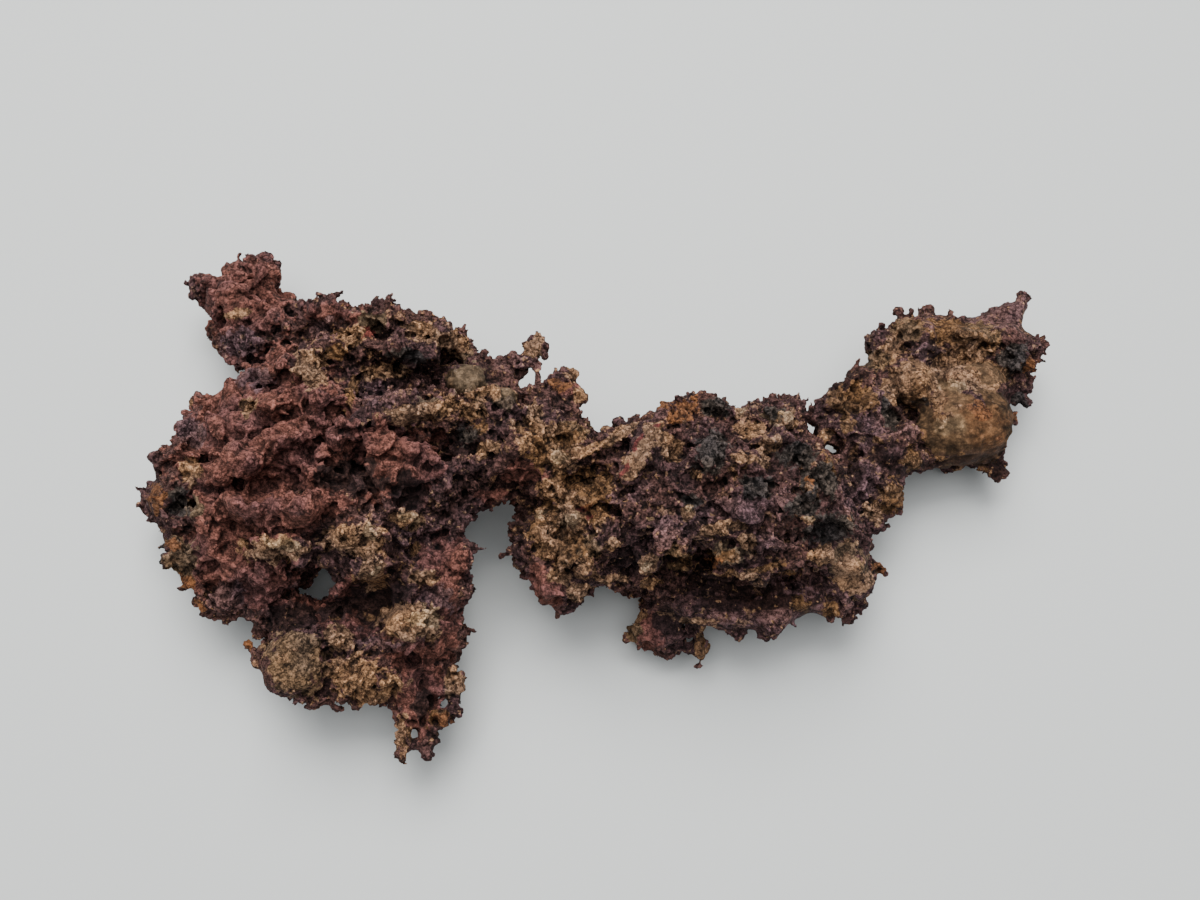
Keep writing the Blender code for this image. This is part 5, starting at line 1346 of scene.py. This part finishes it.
    def sprigs(self, obj: bpy.types.Object) -> bpy.types.Object:
        """Grows coral-like sprigs: chains of small lumps that leave the skin and wander.

        Args:
            obj: The skin. Most sprigs stand on its rim, as the eye sees it, and above the table.

        Returns:
            One object that holds them all.
        """
        rng = np.random.default_rng(self.seed)
        points, normals = points_of(obj), normals_of(obj)
        facing = normals @ EYE.back()
        rim = np.exp(-((facing / self.rim_width) ** 2)) * ease(points[:, 2], *self.rim_height)
        bare = (1.0 - SURVEY.stone(points)) * (1.0 - SURVEY.near_gap(points))
        rim *= bare * (1.0 - self.sprig_hush * SURVEY.calm(points) ** 2)
        clump = ease(clouds(points, self.sprig_clump, 41, 2), *self.sprig_clump_edge)
        rim = (rim + self.sprig_anywhere) * (self.sprig_sparse + clump)
        picked = rng.choice(len(points), self.sprig_count, replace=False, p=rim / rim.sum())
        lean = self.sprig_lean * rng.normal(size=(self.sprig_count, 3))
        tip, way = points[picked], normals[picked] + lean
        size = rng.choice(self.sprig_sizes, self.sprig_count, p=self.sprig_shares)
        centres, radii, turns = [], [], []
        for _ in range(self.sprig_links):
            way /= np.linalg.norm(way, axis=1, keepdims=True)
            centres.append(tip.copy())
            stretch = rng.uniform(self.sprig_least, self.sprig_most, (self.sprig_count, 3))
            radii.append(size[:, None] * stretch)
            turns.append(turns_to(way))
            tip = tip + way * size[:, None] * self.sprig_step
            way = way + self.sprig_wander * rng.normal(size=way.shape)
            size = size * rng.uniform(*self.sprig_taper, self.sprig_count)
        return lumps("sprigs", np.concatenate(centres), np.concatenate(radii), np.concatenate(turns), 1)

    def crumbs(self, obj: bpy.types.Object) -> bpy.types.Object:
        """Sows crumbs half sunk in the skin, thick in some places and thin in others.

        Args:
            obj: The skin.

        Returns:
            One object that holds them all.
        """
        rng = np.random.default_rng(self.seed + 1)
        points, normals = points_of(obj), normals_of(obj)
        ground = SURVEY.grounds(points)
        want = ease(clouds(points, self.crumb_clump, 51, 2), *self.crumb_clump_edge)
        want = want + self.crumb_on_tan * ground[Ground.TAN] + self.crumb_anywhere
        want *= 1.0 - SURVEY.calm(points)
        want *= 1.0 - SURVEY.near_gap(points)
        picked = rng.choice(len(points), self.crumb_count, replace=False, p=want / want.sum())
        size = np.exp(rng.normal(math.log(self.crumb_size), self.crumb_spread, self.crumb_count))
        radii = size[:, None] * rng.uniform(*self.crumb_shape, (self.crumb_count, 3))
        turns = turns_to(normals[picked] + self.crumb_lean * rng.normal(size=(self.crumb_count, 3)))
        centres = points[picked] + normals[picked] * size[:, None] * self.crumb_stand
        return lumps("crumbs", centres, radii, turns, 1)

    def raise_grains(self, obj: bpy.types.Object) -> None:
        """Raises crystal grains and grit along the fused skin's normals.

        Args:
            obj: The skin.
        """
        points, normals = points_of(obj), normals_of(obj)
        rough = 1.0 - self.hush * SURVEY.calm(points)
        rise = self.grain_rise * (blocks(points, self.grain_size, 61) - self.grain_sunk) * rough
        grit = self.grit_rise * clouds(points, self.grit_size, 71, 2)
        rise += grit * (self.grit_least + (1.0 - self.grit_least) * rough)
        put_points(obj, points + normals * rise[:, None])

    def keep_in_box(self, obj: bpy.types.Object) -> None:
        """Presses what reaches past the solid's box most of the way back, and flat onto the table.

        Args:
            obj: The skin.
        """
        points = points_of(obj)
        low, high = np.array(CAD_BOX) / MM
        inside = np.clip(points, low, high)
        points = inside + self.past_box * (points - inside)
        points[:, 2] = np.maximum(points[:, 2], 0.0)
        put_points(obj, points)

    def paint(self, obj: bpy.types.Object) -> None:
        """Writes each ground, the stones and the relief into the mesh as attributes.

        The relief is how far the skin stands out of its own smoothed form, from -1 in a hollow to 1
        on a knob. The material paints shade into the hollows by it.

        Args:
            obj: The skin.
        """
        points, normals = points_of(obj), normals_of(obj)
        for name, rounds, reach in self.reliefs:
            smoothed = obj.copy()
            smoothed.data = obj.data.copy()
            bpy.context.scene.collection.objects.link(smoothed)
            soften(smoothed, rounds)
            stand = ((points - points_of(smoothed)) * normals).sum(axis=1)
            bpy.data.objects.remove(smoothed)
            self.write(obj, name, np.clip(stand / reach, -1.0, 1.0))
        self.write(obj, "stone", SURVEY.stone(points))
        for ground, mask in SURVEY.grounds(points).items():
            self.write(obj, ground.value, mask)

    def write(self, obj: bpy.types.Object, name: str, values: np.ndarray) -> None:
        """Stores one number for each vertex of the object under the name."""
        layer = obj.data.attributes.new(name, "FLOAT", "POINT")
        layer.data.foreach_set("value", values.astype(np.float32))


# A place past either end of the nugget, in millimetres.
BEYOND = 1000.0


@dataclass(frozen=True)
class Stretch:
    """A stretch of the nugget's length, from one x to the next, in millimetres."""

    name: str
    start: float
    end: float

    def take(self, whole: bpy.types.Object) -> bpy.types.Object:
        """Cuts the stretch out of the whole skin and closes it.

        Args:
            whole: The whole skin.

        Returns:
            The closed piece. Its cut faces meet the next piece's inside the metal.
        """
        mesh = bmesh.new()
        mesh.from_mesh(whole.data)
        for place, keep in ((self.start, 1.0), (self.end, -1.0)):
            if abs(place) < BEYOND:
                self.trim(mesh, place, keep)
        data = bpy.data.meshes.new(self.name)
        mesh.to_mesh(data)
        mesh.free()
        obj = bpy.data.objects.new(self.name, data)
        bpy.context.scene.collection.objects.link(obj)
        return obj

    def trim(self, mesh: bmesh.types.BMesh, place: float, keep: float) -> None:
        """Cuts a mesh across, keeps one side of it and caps the cut.

        Args:
            mesh: The mesh.
            place: The cut's x in millimetres.
            keep: 1 to keep what lies past the cut, and -1 to keep what lies before it.
        """
        every = [*mesh.verts, *mesh.edges, *mesh.faces]
        bmesh.ops.bisect_plane(
            mesh, geom=every, plane_co=(place * MM, 0, 0), plane_no=(-keep, 0, 0), clear_outer=True, dist=1e-8
        )
        rim = [edge for edge in mesh.edges if edge.is_boundary]
        caps = bmesh.ops.holes_fill(mesh, edges=rim)["faces"]
        for edge in rim:
            edge.smooth = False
        bmesh.ops.triangulate(mesh, faces=caps)


STRETCHES = (
    Stretch("west_rim", -BEYOND, -83.0),
    Stretch("west_heart", -83.0, -60.0),
    Stretch("west_crest", -60.0, -38.0),
    Stretch("bridge", -38.0, -4.0),
    Stretch("middle_flank", -4.0, 29.0),
    Stretch("middle_crest", 29.0, 62.0),
    Stretch("east_mass", 62.0, BEYOND),
)


# Finishes.


# What may feed a node's input: another node's output, a number, or a colour or direction.
Feed = bpy.types.NodeSocket | float | tuple[float, ...]


class Wiring:
    """Adds nodes to a node tree and links them."""

    def __init__(self, tree: bpy.types.NodeTree) -> None:
        """Starts on a tree."""
        self.tree = tree

    def add(self, kind: str, inputs: dict[str | int, Feed] | None = None, **settings) -> bpy.types.Node:
        """Adds a node.

        Args:
            kind: The node's type.
            inputs: For each socket, by name or number, its value or the socket that feeds it.
            **settings: The node's own properties.

        Returns:
            The new node.
        """
        node = self.tree.nodes.new(kind)
        for name, value in settings.items():
            setattr(node, name, value)
        for socket, value in (inputs or {}).items():
            if isinstance(value, bpy.types.NodeSocket):
                self.tree.links.new(value, node.inputs[socket])
            else:
                node.inputs[socket].default_value = value
        return node

    def mix(self, factor: Feed, first: Feed, second: Feed, blend: str = "MIX") -> bpy.types.NodeSocket:
        """Mixes two colours and returns the socket of the result."""
        node = self.add("ShaderNodeMix", {0: factor, 6: first, 7: second}, data_type="RGBA", blend_type=blend)
        return node.outputs[2]

    def maths(self, operation: str, *values: Feed) -> bpy.types.NodeSocket:
        """Works out one operation on values or sockets and returns the socket of the result."""
        return self.add("ShaderNodeMath", dict(enumerate(values)), operation=operation).outputs[0]

    def vector(self, operation: str, first: Feed, second: Feed) -> bpy.types.Node:
        """Adds a vector maths node, whose outputs hold the result."""
        return self.add("ShaderNodeVectorMath", {0: first, 1: second}, operation=operation)

    def span(
        self, value: Feed, old: tuple[float, float], new: tuple[float, float] = (0.0, 1.0)
    ) -> bpy.types.NodeSocket:
        """Carries a value from an old range to a new one with a smooth step."""
        inputs = {"Value": value, 1: old[0], 2: old[1], 3: new[0], 4: new[1]}
        return self.add("ShaderNodeMapRange", inputs, interpolation_type="SMOOTHSTEP").outputs[0]

    def attribute(self, name: str) -> bpy.types.NodeSocket:
        """Reads one of the skin's attributes."""
        return self.add("ShaderNodeAttribute", attribute_name=name, attribute_type="GEOMETRY").outputs["Fac"]

    def noise(self, place: Feed, size: float, detail: float, rough: float) -> bpy.types.NodeSocket:
        """Adds noise whose features are about size metres wide, and finer ones by detail and rough."""
        inputs = {"Vector": place, "Scale": 1.0 / size, "Detail": detail, "Roughness": rough}
        return self.add("ShaderNodeTexNoise", inputs).outputs[0]


# The three sizes of grains, as shares of the largest, and how much each counts.
GRAIN_KINDS = ((1.0, 0.4), (0.55, 0.3), (0.32, 0.3))

# How strongly a grain's own number and the noise push a patch's edge about.
VOTE_WEIGHT = 0.55
NOISE_WEIGHT = 2.2

# The mask's edge once it is pushed about, and how much mask a patch needs to show at all.
PATCH_EDGE = (0.34, 0.72)
PATCH_START = (0.02, 0.2)


class Groups:
    """The shader node groups of the crust."""

    @staticmethod
    def new(name: str, inputs: dict[str, float], outputs: dict[str, str]) -> tuple:
        """Starts a group.

        Args:
            name: The group's name.
            inputs: Its number inputs and their usual values.
            outputs: Its outputs and their socket types.

        Returns:
            The group, its wiring, its input node and its output node.
        """
        group = bpy.data.node_groups.new(name, "ShaderNodeTree")
        for label, value in inputs.items():
            socket = group.interface.new_socket(label, in_out="INPUT", socket_type="NodeSocketFloat")
            socket.default_value = value
        for label, kind in outputs.items():
            group.interface.new_socket(label, in_out="OUTPUT", socket_type=kind)
        wiring = Wiring(group)
        return group, wiring, wiring.add("NodeGroupInput"), wiring.add("NodeGroupOutput")

    @classmethod
    def voted(cls) -> bpy.types.NodeTree:
        """Builds the group that votes on a patch's mask, grain by grain.

        Returns:
            The group: a smooth step of the mask plus the grain's own number and the noise.
        """
        group, wiring, given, out = cls.new(
            "voted_patch", {"Mask": 0.0, "Vote": 0.5, "Noise": 0.5, "Sway": 1.0}, {"Mask": "NodeSocketFloat"}
        )
        vote = wiring.maths("SUBTRACT", given.outputs["Vote"], 0.5)
        vote = wiring.maths("MULTIPLY", vote, VOTE_WEIGHT)
        noise = wiring.maths("SUBTRACT", given.outputs["Noise"], 0.5)
        noise = wiring.maths("MULTIPLY", noise, NOISE_WEIGHT)
        push = wiring.maths("MULTIPLY", wiring.maths("ADD", vote, noise), given.outputs["Sway"])
        inside = wiring.span(wiring.maths("ADD", given.outputs["Mask"], push), PATCH_EDGE)
        some = wiring.span(given.outputs["Mask"], PATCH_START)
        wiring.tree.links.new(wiring.maths("MULTIPLY", inside, some), out.inputs["Mask"])
        return group

    @classmethod
    def grains(cls) -> bpy.types.NodeTree:
        """Builds the group of crystal grains: three sizes of scattered cells, summed.

        Returns:
            The group. It puts out a round height, a tint that is each grain's own, and facets that
            are tilted each its own way, in metres.
        """
        kinds = dict.fromkeys(("Height", "Tint", "Facet"), "NodeSocketFloat")
        group, wiring, given, out = cls.new("crystal_grains", {"Size mm": 1.0}, kinds)
        place = wiring.add("ShaderNodeTexCoord").outputs["Object"]
        sums: dict[str, bpy.types.NodeSocket | None] = dict.fromkeys(kinds)
        for share, weight in GRAIN_KINDS:
            size = wiring.maths("MULTIPLY", given.outputs["Size mm"], share)
            scale = wiring.maths("DIVIDE", 1000.0, size)
            cell = wiring.add("ShaderNodeTexVoronoi", {"Vector": place, "Scale": scale, "Randomness": 1.0})
            shade = wiring.add("ShaderNodeSeparateColor", {0: cell.outputs["Color"]}).outputs[0]
            offset = wiring.vector("SUBTRACT", place, cell.outputs["Position"]).outputs[0]
            tilt = wiring.vector("SUBTRACT", cell.outputs["Color"], (0.5, 0.5, 0.5)).outputs[0]
            facet = wiring.vector("DOT_PRODUCT", offset, tilt).outputs["Value"]
            values = (wiring.maths("SUBTRACT", 1.0, cell.outputs["Distance"]), shade, facet)
            for name, value in zip(kinds, values):
                part = wiring.maths("MULTIPLY", value, weight)
                sums[name] = part if sums[name] is None else wiring.maths("ADD", sums[name], part)
        for name, total in sums.items():
            wiring.tree.links.new(total, out.inputs[name])
        return group


@dataclass(frozen=True)
class Tone:
    """One ground's dark and light colours, linear, and how strongly its grains vote at its edges."""

    dark: tuple[float, float, float]
    light: tuple[float, float, float]
    sway: float = 0.8


@dataclass(frozen=True)
class CrustFinish:
    """The crusted copper: red-brown and purple-brown cuprite with pale matrix, black and orange, with painted
    shade in its hollows and in some dark patches.
    """

    base: Tone = Tone((0.025, 0.012, 0.011), (0.158, 0.080, 0.072))
    tones: tuple[tuple[Ground, Tone], ...] = (
        (Ground.BRICK, Tone((0.068, 0.028, 0.022), (0.278, 0.116, 0.094), 0.4)),
        (Ground.MAUVE, Tone((0.035, 0.0175, 0.0180), (0.240, 0.132, 0.127), 0.8)),
        (Ground.UMBER_AND_SHADE, Tone((0.018, 0.0088, 0.0085), (0.068, 0.035, 0.031), 0.5)),
        (Ground.OLIVE, Tone((0.052, 0.032, 0.018), (0.275, 0.173, 0.098), 0.7)),
        (Ground.GREY, Tone((0.075, 0.049, 0.031), (0.210, 0.148, 0.094), 0.7)),
        (Ground.OCHRE, Tone((0.062, 0.031, 0.015), (0.290, 0.158, 0.074), 0.9)),
        (Ground.TAN, Tone((0.084, 0.044, 0.025), (0.500, 0.292, 0.160), 0.5)),
        (Ground.BLACK, Tone((0.009, 0.0075, 0.0068), (0.105, 0.084, 0.072), 1.3)),
        (Ground.ORANGE, Tone((0.090, 0.036, 0.016), (0.300, 0.130, 0.055), 1.3)),
        (Ground.CREAM, Tone((0.170, 0.104, 0.055), (0.620, 0.415, 0.235), 0.55)),
        (Ground.RED, Tone((0.100, 0.030, 0.025), (0.240, 0.065, 0.052), 1.1)),
    )
    cool: tuple[float, float, float] = (0.86, 0.87, 0.99)
    warm: tuple[float, float, float] = (1.11, 1.03, 0.96)
    grain_size: float = 0.9
    # Each noise is given by its size in metres, its detail and its roughness, and each span by its ends.
    blotch: tuple[float, float, float] = (0.0022, 6.0, 0.72)
    blotch_weight: float = 1.1
    shade_span: tuple[float, float] = (0.74, 1.38)
    drift: tuple[float, float, float] = (0.012, 2.0, 0.5)
    drift_span: tuple[float, float] = (0.36, 0.62)
    # Tan specks that stray over the other grounds, fewer on brick: weak clusters of the crust's own tan, and
    # small strong specks that are partly tan grains and partly painted highlights on the crystal grains.
    specks: tuple[tuple[float, float, float], ...] = ((0.005, 3.0, 0.6), (0.0015, 2.0, 0.5))
    speck_spans: tuple[tuple[float, float], ...] = ((0.5, 0.66), (0.6, 0.7))
    speck_weights: tuple[float, ...] = (0.5, 0.75)
    brick_span: tuple[float, float] = (0.1, 0.6)
    specks_on_brick: float = 0.35
    # Painted shade: how the hollows darken, by the two reliefs written as attributes and between the grains.
    # The high ends above 1 paint a little light onto knobs and grain tops.
    relief_span: tuple[float, float] = (-0.9, 0.35)
    relief_shade: tuple[float, float] = (0.1, 1.05)
    depth_span: tuple[float, float] = (-1.0, 0.4)
    depth_shade: tuple[float, float] = (0.2, 1.12)
    pit_span: tuple[float, float] = (0.24, 0.56)
    pit_shade: tuple[float, float] = (0.45, 1.12)
    # The bump and the shine.
    grain_depth: float = 0.0005
    facet_depth: float = 3.0
    glint_span: tuple[float, float] = (0.74, 0.86)
    roughness: tuple[float, float] = (0.9, 0.45)
    shine: float = 0.18
    # The stones: streaked, mottled, grainy, and with soft patches of these grounds. The darkest of them
    # paints the shadow along the east boulder's lower edge.
    stone_dark: tuple[float, float, float] = (0.017, 0.0095, 0.0055)
    stone_light: tuple[float, float, float] = (0.105, 0.060, 0.031)
    stone_edge: tuple[float, float] = (0.6, 0.85)
    stone_relief: float = 0.55
    streak: tuple[float, float, float] = (0.006, 7.0, 0.8)
    streak_turn: tuple[float, float, float] = (0.3, 0.2, 0.5)
    streak_squeeze: tuple[float, float, float] = (1.0, 3.2, 2.0)
    streak_span: tuple[float, float] = (0.38, 0.62)
    streak_light: float = 1.3
    mottle: tuple[float, float, float] = (0.0035, 6.0, 0.75)
    mottle_span: tuple[float, float] = (0.4, 0.6)
    mottle_shade: tuple[float, float] = (0.5, 1.35)
    mottle_weight: float = 0.8
    grain_shade: tuple[float, float] = (0.4, 1.5)
    grain_weight: float = 0.55
    on_stone: tuple[tuple[Ground, float], ...] = (
        (Ground.UMBER_AND_SHADE, 0.75),
        (Ground.OCHRE, 0.2),
        (Ground.TAN, 0.28),
        (Ground.ORANGE, 0.35),
        (Ground.GREY, 0.7),
        (Ground.CREAM, 0.3),
    )

    def material(self) -> bpy.types.Material:
        """Builds the material: tones laid one over another by their attributes, then the relief.

        Returns:
            The material.
        """
        made = bpy.data.materials.new("crusted_copper")
        made.use_nodes = True
        wiring = Wiring(made.node_tree)
        shader = made.node_tree.nodes["Principled BSDF"]
        place = wiring.add("ShaderNodeTexCoord").outputs["Object"]
        fine = wiring.add("ShaderNodeGroup", node_tree=Groups.grains())
        fine.inputs["Size mm"].default_value = self.grain_size
        height, tint = fine.outputs["Height"], fine.outputs["Tint"]
        blotch = wiring.noise(place, *self.blotch)
        shade = wiring.maths("ADD", wiring.maths("MULTIPLY", blotch, self.blotch_weight), tint)
        shade = wiring.span(shade, self.shade_span)
        stone = wiring.attribute("stone")
        masks = {ground: wiring.attribute(ground.value) for ground, _ in self.tones}
        crust = self.crust(wiring, masks, place, tint, blotch, shade)
        drift = wiring.span(wiring.noise(place, *self.drift), self.drift_span)
        drift = wiring.mix(drift, (*self.cool, 1.0), (*self.warm, 1.0))
        crust = wiring.mix(1.0, crust, drift, "MULTIPLY")
        smooth = wiring.maths("ADD", stone, wiring.maths("MULTIPLY", blotch, 0.5))
        smooth = wiring.span(smooth, self.stone_edge)
        colour = wiring.mix(smooth, crust, self.stone(wiring, masks, place, shade))
        # Painted shade and light: the colour is multiplied by a grey that darkens hollows and the gaps
        # between grains and lightens knobs and grain tops a little.
        colour = wiring.mix(1.0, colour, self.hollows(wiring, height, smooth), "MULTIPLY")
        wiring.tree.links.new(colour, shader.inputs["Base Color"])
        glint = wiring.span(tint, self.glint_span, self.roughness)
        wiring.tree.links.new(glint, shader.inputs["Roughness"])
        shader.inputs["Specular IOR Level"].default_value = self.shine
        rough = wiring.maths("ADD", wiring.maths("MULTIPLY", height, 0.5), blotch)
        rough = wiring.maths("MULTIPLY", rough, self.grain_depth)
        facets = wiring.maths("MULTIPLY", fine.outputs["Facet"], self.facet_depth)
        rough = wiring.maths("ADD", rough, facets)
        strength = wiring.span(stone, (0.0, 1.0), (1.0, self.stone_relief))
        bump = wiring.add("ShaderNodeBump", {"Strength": strength, "Distance": 1.0, "Height": rough})
        wiring.tree.links.new(bump.outputs[0], shader.inputs["Normal"])
        return made

    def stray(self, wiring: Wiring, place: Feed) -> bpy.types.NodeSocket:
        """Scatters tan specks: weak clusters a few millimetres wide, and strong small ones that are partly
        tan grains and partly painted highlights on the crystal grains.

        Args:
            wiring: The material's wiring.
            place: Where each point lies.

        Returns:
            The specks' mask.
        """
        masks = []
        for noise, span, weight in zip(self.specks, self.speck_spans, self.speck_weights):
            masks.append(wiring.span(wiring.noise(place, *noise), span, (0.0, weight)))
        return wiring.maths("MAXIMUM", *masks)

    def crust(
        self, wiring: Wiring, masks: dict[Ground, Feed], place: Feed, tint: Feed, blotch: Feed, shade: Feed
    ) -> bpy.types.NodeSocket:
        """Lays the tones over the base, each grain voting for or against every patch.

        Args:
            wiring: The material's wiring.
            masks: Each ground's mask.
            place: Where each point lies.
            tint: The grains' own numbers.
            blotch: The noise between them.
            shade: From each tone's dark to its light.

        Returns:
            The colour.
        """
        voted = Groups.voted()
        colour = self.toned(wiring, self.base, shade)
        for ground, tone in self.tones:
            mask = masks[ground]
            if ground is Ground.TAN:
                off_brick = wiring.span(masks[Ground.BRICK], self.brick_span, (1.0, self.specks_on_brick))
                stray = wiring.maths("MULTIPLY", self.stray(wiring, place), off_brick)
                mask = wiring.maths("MAXIMUM", mask, stray)
            inputs = {"Mask": mask, "Vote": tint, "Noise": blotch}
            over = wiring.add("ShaderNodeGroup", node_tree=voted)
            for name, value in inputs.items():
                wiring.tree.links.new(value, over.inputs[name])
            over.inputs["Sway"].default_value = tone.sway
            colour = wiring.mix(over.outputs["Mask"], colour, self.toned(wiring, tone, shade))
        return colour

    def stone(
        self, wiring: Wiring, masks: dict[Ground, Feed], place: Feed, shade: Feed
    ) -> bpy.types.NodeSocket:
        """Colours the smooth stones: streaked brown and tan, with soft patches of the same grounds. The
        darkest patch paints the shadow along the east boulder's lower edge.

        Args:
            wiring: The material's wiring.
            masks: Each ground's mask.
            place: Where each point lies.
            shade: From the grains' dark to their light.

        Returns:
            The colour.
        """
        settings = {"Vector": place, "Rotation": self.streak_turn, "Scale": self.streak_squeeze}
        long = wiring.add("ShaderNodeMapping", settings)
        streak = wiring.noise(long.outputs[0], *self.streak)
        broad = wiring.span(streak, self.streak_span)
        colour = wiring.mix(broad, (*self.stone_dark, 1.0), (*self.stone_light, 1.0))
        tones = dict(self.tones)
        lit = wiring.maths("MULTIPLY", streak, self.streak_light)
        for ground, most in self.on_stone:
            soft = wiring.maths("MULTIPLY", masks[ground], most)
            colour = wiring.mix(soft, colour, self.toned(wiring, tones[ground], lit))
        mottle = wiring.span(wiring.noise(place, *self.mottle), self.mottle_span)
        mottle = self.greyed(wiring, mottle, self.mottle_shade)
        colour = wiring.mix(self.mottle_weight, colour, mottle, "MULTIPLY")
        grain = self.greyed(wiring, shade, self.grain_shade)
        return wiring.mix(self.grain_weight, colour, grain, "MULTIPLY")

    def hollows(self, wiring: Wiring, height: Feed, smooth: Feed) -> bpy.types.NodeSocket:
        """Paints shade into the hollows and between the grains, and a little light onto knobs and grain tops,
        from the relief's attributes and the grains' own height.

        Args:
            wiring: The material's wiring.
            height: The grains' height.
            smooth: Where the skin is a smooth stone.

        Returns:
            A grey that the colour is multiplied by: painted shade below 1, and painted light above it.
        """
        near = wiring.span(wiring.attribute("relief"), self.relief_span, self.relief_shade)
        broad = wiring.span(wiring.attribute("depth"), self.depth_span, self.depth_shade)
        grain = wiring.span(height, self.pit_span, self.pit_shade)
        grain = wiring.maths("ADD", wiring.maths("MULTIPLY", smooth, 0.5), grain)
        grain = wiring.maths("MINIMUM", grain, self.pit_shade[1])
        total = wiring.maths("MULTIPLY", wiring.maths("MULTIPLY", near, broad), grain)
        return wiring.add("ShaderNodeCombineColor", {0: total, 1: total, 2: total}).outputs[0]

    @staticmethod
    def toned(wiring: Wiring, tone: Tone, shade: Feed) -> bpy.types.NodeSocket:
        """Mixes a tone's dark and light colours by the shade."""
        return wiring.mix(shade, (*tone.dark, 1.0), (*tone.light, 1.0))

    @staticmethod
    def greyed(wiring: Wiring, factor: Feed, greys: tuple[float, float]) -> bpy.types.NodeSocket:
        """Mixes two greys by the factor."""
        return wiring.mix(factor, (*(greys[0],) * 3, 1.0), (*(greys[1],) * 3, 1.0))


@dataclass(frozen=True)
class TableFinish:
    """The plain pale table."""

    colour: tuple[float, float, float] = (0.62, 0.64, 0.635)
    roughness: float = 0.7

    def material(self) -> bpy.types.Material:
        """Builds a plain matt material.

        Returns:
            The material.
        """
        made = bpy.data.materials.new("pale_table")
        made.use_nodes = True
        shader = made.node_tree.nodes["Principled BSDF"]
        shader.inputs["Base Color"].default_value = (*self.colour, 1.0)
        shader.inputs["Roughness"].default_value = self.roughness
        return made


@dataclass(frozen=True)
class Lamp:
    """A square soft light that looks at the nugget, in metres and watts."""

    name: str
    place: tuple[float, float, float]
    side: float
    power: float
    colour: tuple[float, float, float] = (1.0, 1.0, 1.0)

    def hang(self) -> None:
        """Puts the lamp in the scene."""
        light = bpy.data.lights.new(self.name, "AREA")
        light.size = self.side
        light.energy = self.power
        light.color = self.colour
        obj = bpy.data.objects.new(self.name, light)
        obj.location = self.place
        obj.rotation_euler = (-Vector(self.place)).to_track_quat("-Z", "Y").to_euler()
        bpy.context.scene.collection.objects.link(obj)


@dataclass(frozen=True)
class Studio:
    """The table, the lights and the camera."""

    table_side: float = 6.0
    sky: tuple[float, float, float] = (0.83, 0.87, 0.90)
    sky_strength: float = 0.36
    lamps: tuple[Lamp, ...] = (
        Lamp("window", (-0.1, 0.5, 1.05), 0.85, 18.5, (1.0, 0.985, 0.96)),
        Lamp("ceiling", (0.05, -0.02, 1.5), 1.4, 18.0),
    )
    sensor: float = 36.0
    nearest: float = 0.01

    def lay_table(self) -> None:
        """Lays the table's top at height zero."""
        half = self.table_side / 2 / MM
        corners = np.array([[-half, -half, 0], [half, -half, 0], [half, half, 0], [-half, half, 0]])
        table = mesh_object("table", corners, np.array([[0, 1, 2, 3]]))
        table.data.materials.append(TableFinish().material())

    def light(self) -> None:
        """Lights the table with a soft sky and the lamps."""
        world = bpy.data.worlds.new("sky")
        world.use_nodes = True
        sky = world.node_tree.nodes["Background"]
        sky.inputs["Color"].default_value = (*self.sky, 1.0)
        sky.inputs["Strength"].default_value = self.sky_strength
        bpy.context.scene.world = world
        for lamp in self.lamps:
            lamp.hang()

    def stand_camera(self) -> None:
        """Stands the camera where the eye is."""
        data = bpy.data.cameras.new("camera")
        data.sensor_width = self.sensor
        data.lens = self.sensor * EYE.distance / EYE.plan_width
        data.clip_start = self.nearest
        camera = bpy.data.objects.new("camera", data)
        camera.location = Vector(EYE.place()) * MM
        camera.rotation_euler = Vector(EYE.back()).to_track_quat("Z", "Y").to_euler()
        bpy.context.scene.collection.objects.link(camera)
        bpy.context.scene.camera = camera


def main() -> None:
    """Builds the nugget's looks and the studio around it."""
    logging.basicConfig(level=logging.INFO, format="%(message)s")
    studio = Studio()
    studio.lay_table()
    studio.light()
    studio.stand_camera()
    skin = Skin()
    whole = skin.grow()
    skin.paint(whole)
    finish = CrustFinish().material()
    for stretch in STRETCHES:
        piece = stretch.take(whole)
        piece.data.materials.clear()
        piece.data.materials.append(finish)
        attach(piece, "root")
        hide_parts(NODE)
        triangles = sum(len(face.vertices) - 2 for face in piece.data.polygons)
        LOG.info("%s: %d triangles", piece.name, triangles)
    bpy.data.objects.remove(whole)


if __name__ == "__main__":
    main()
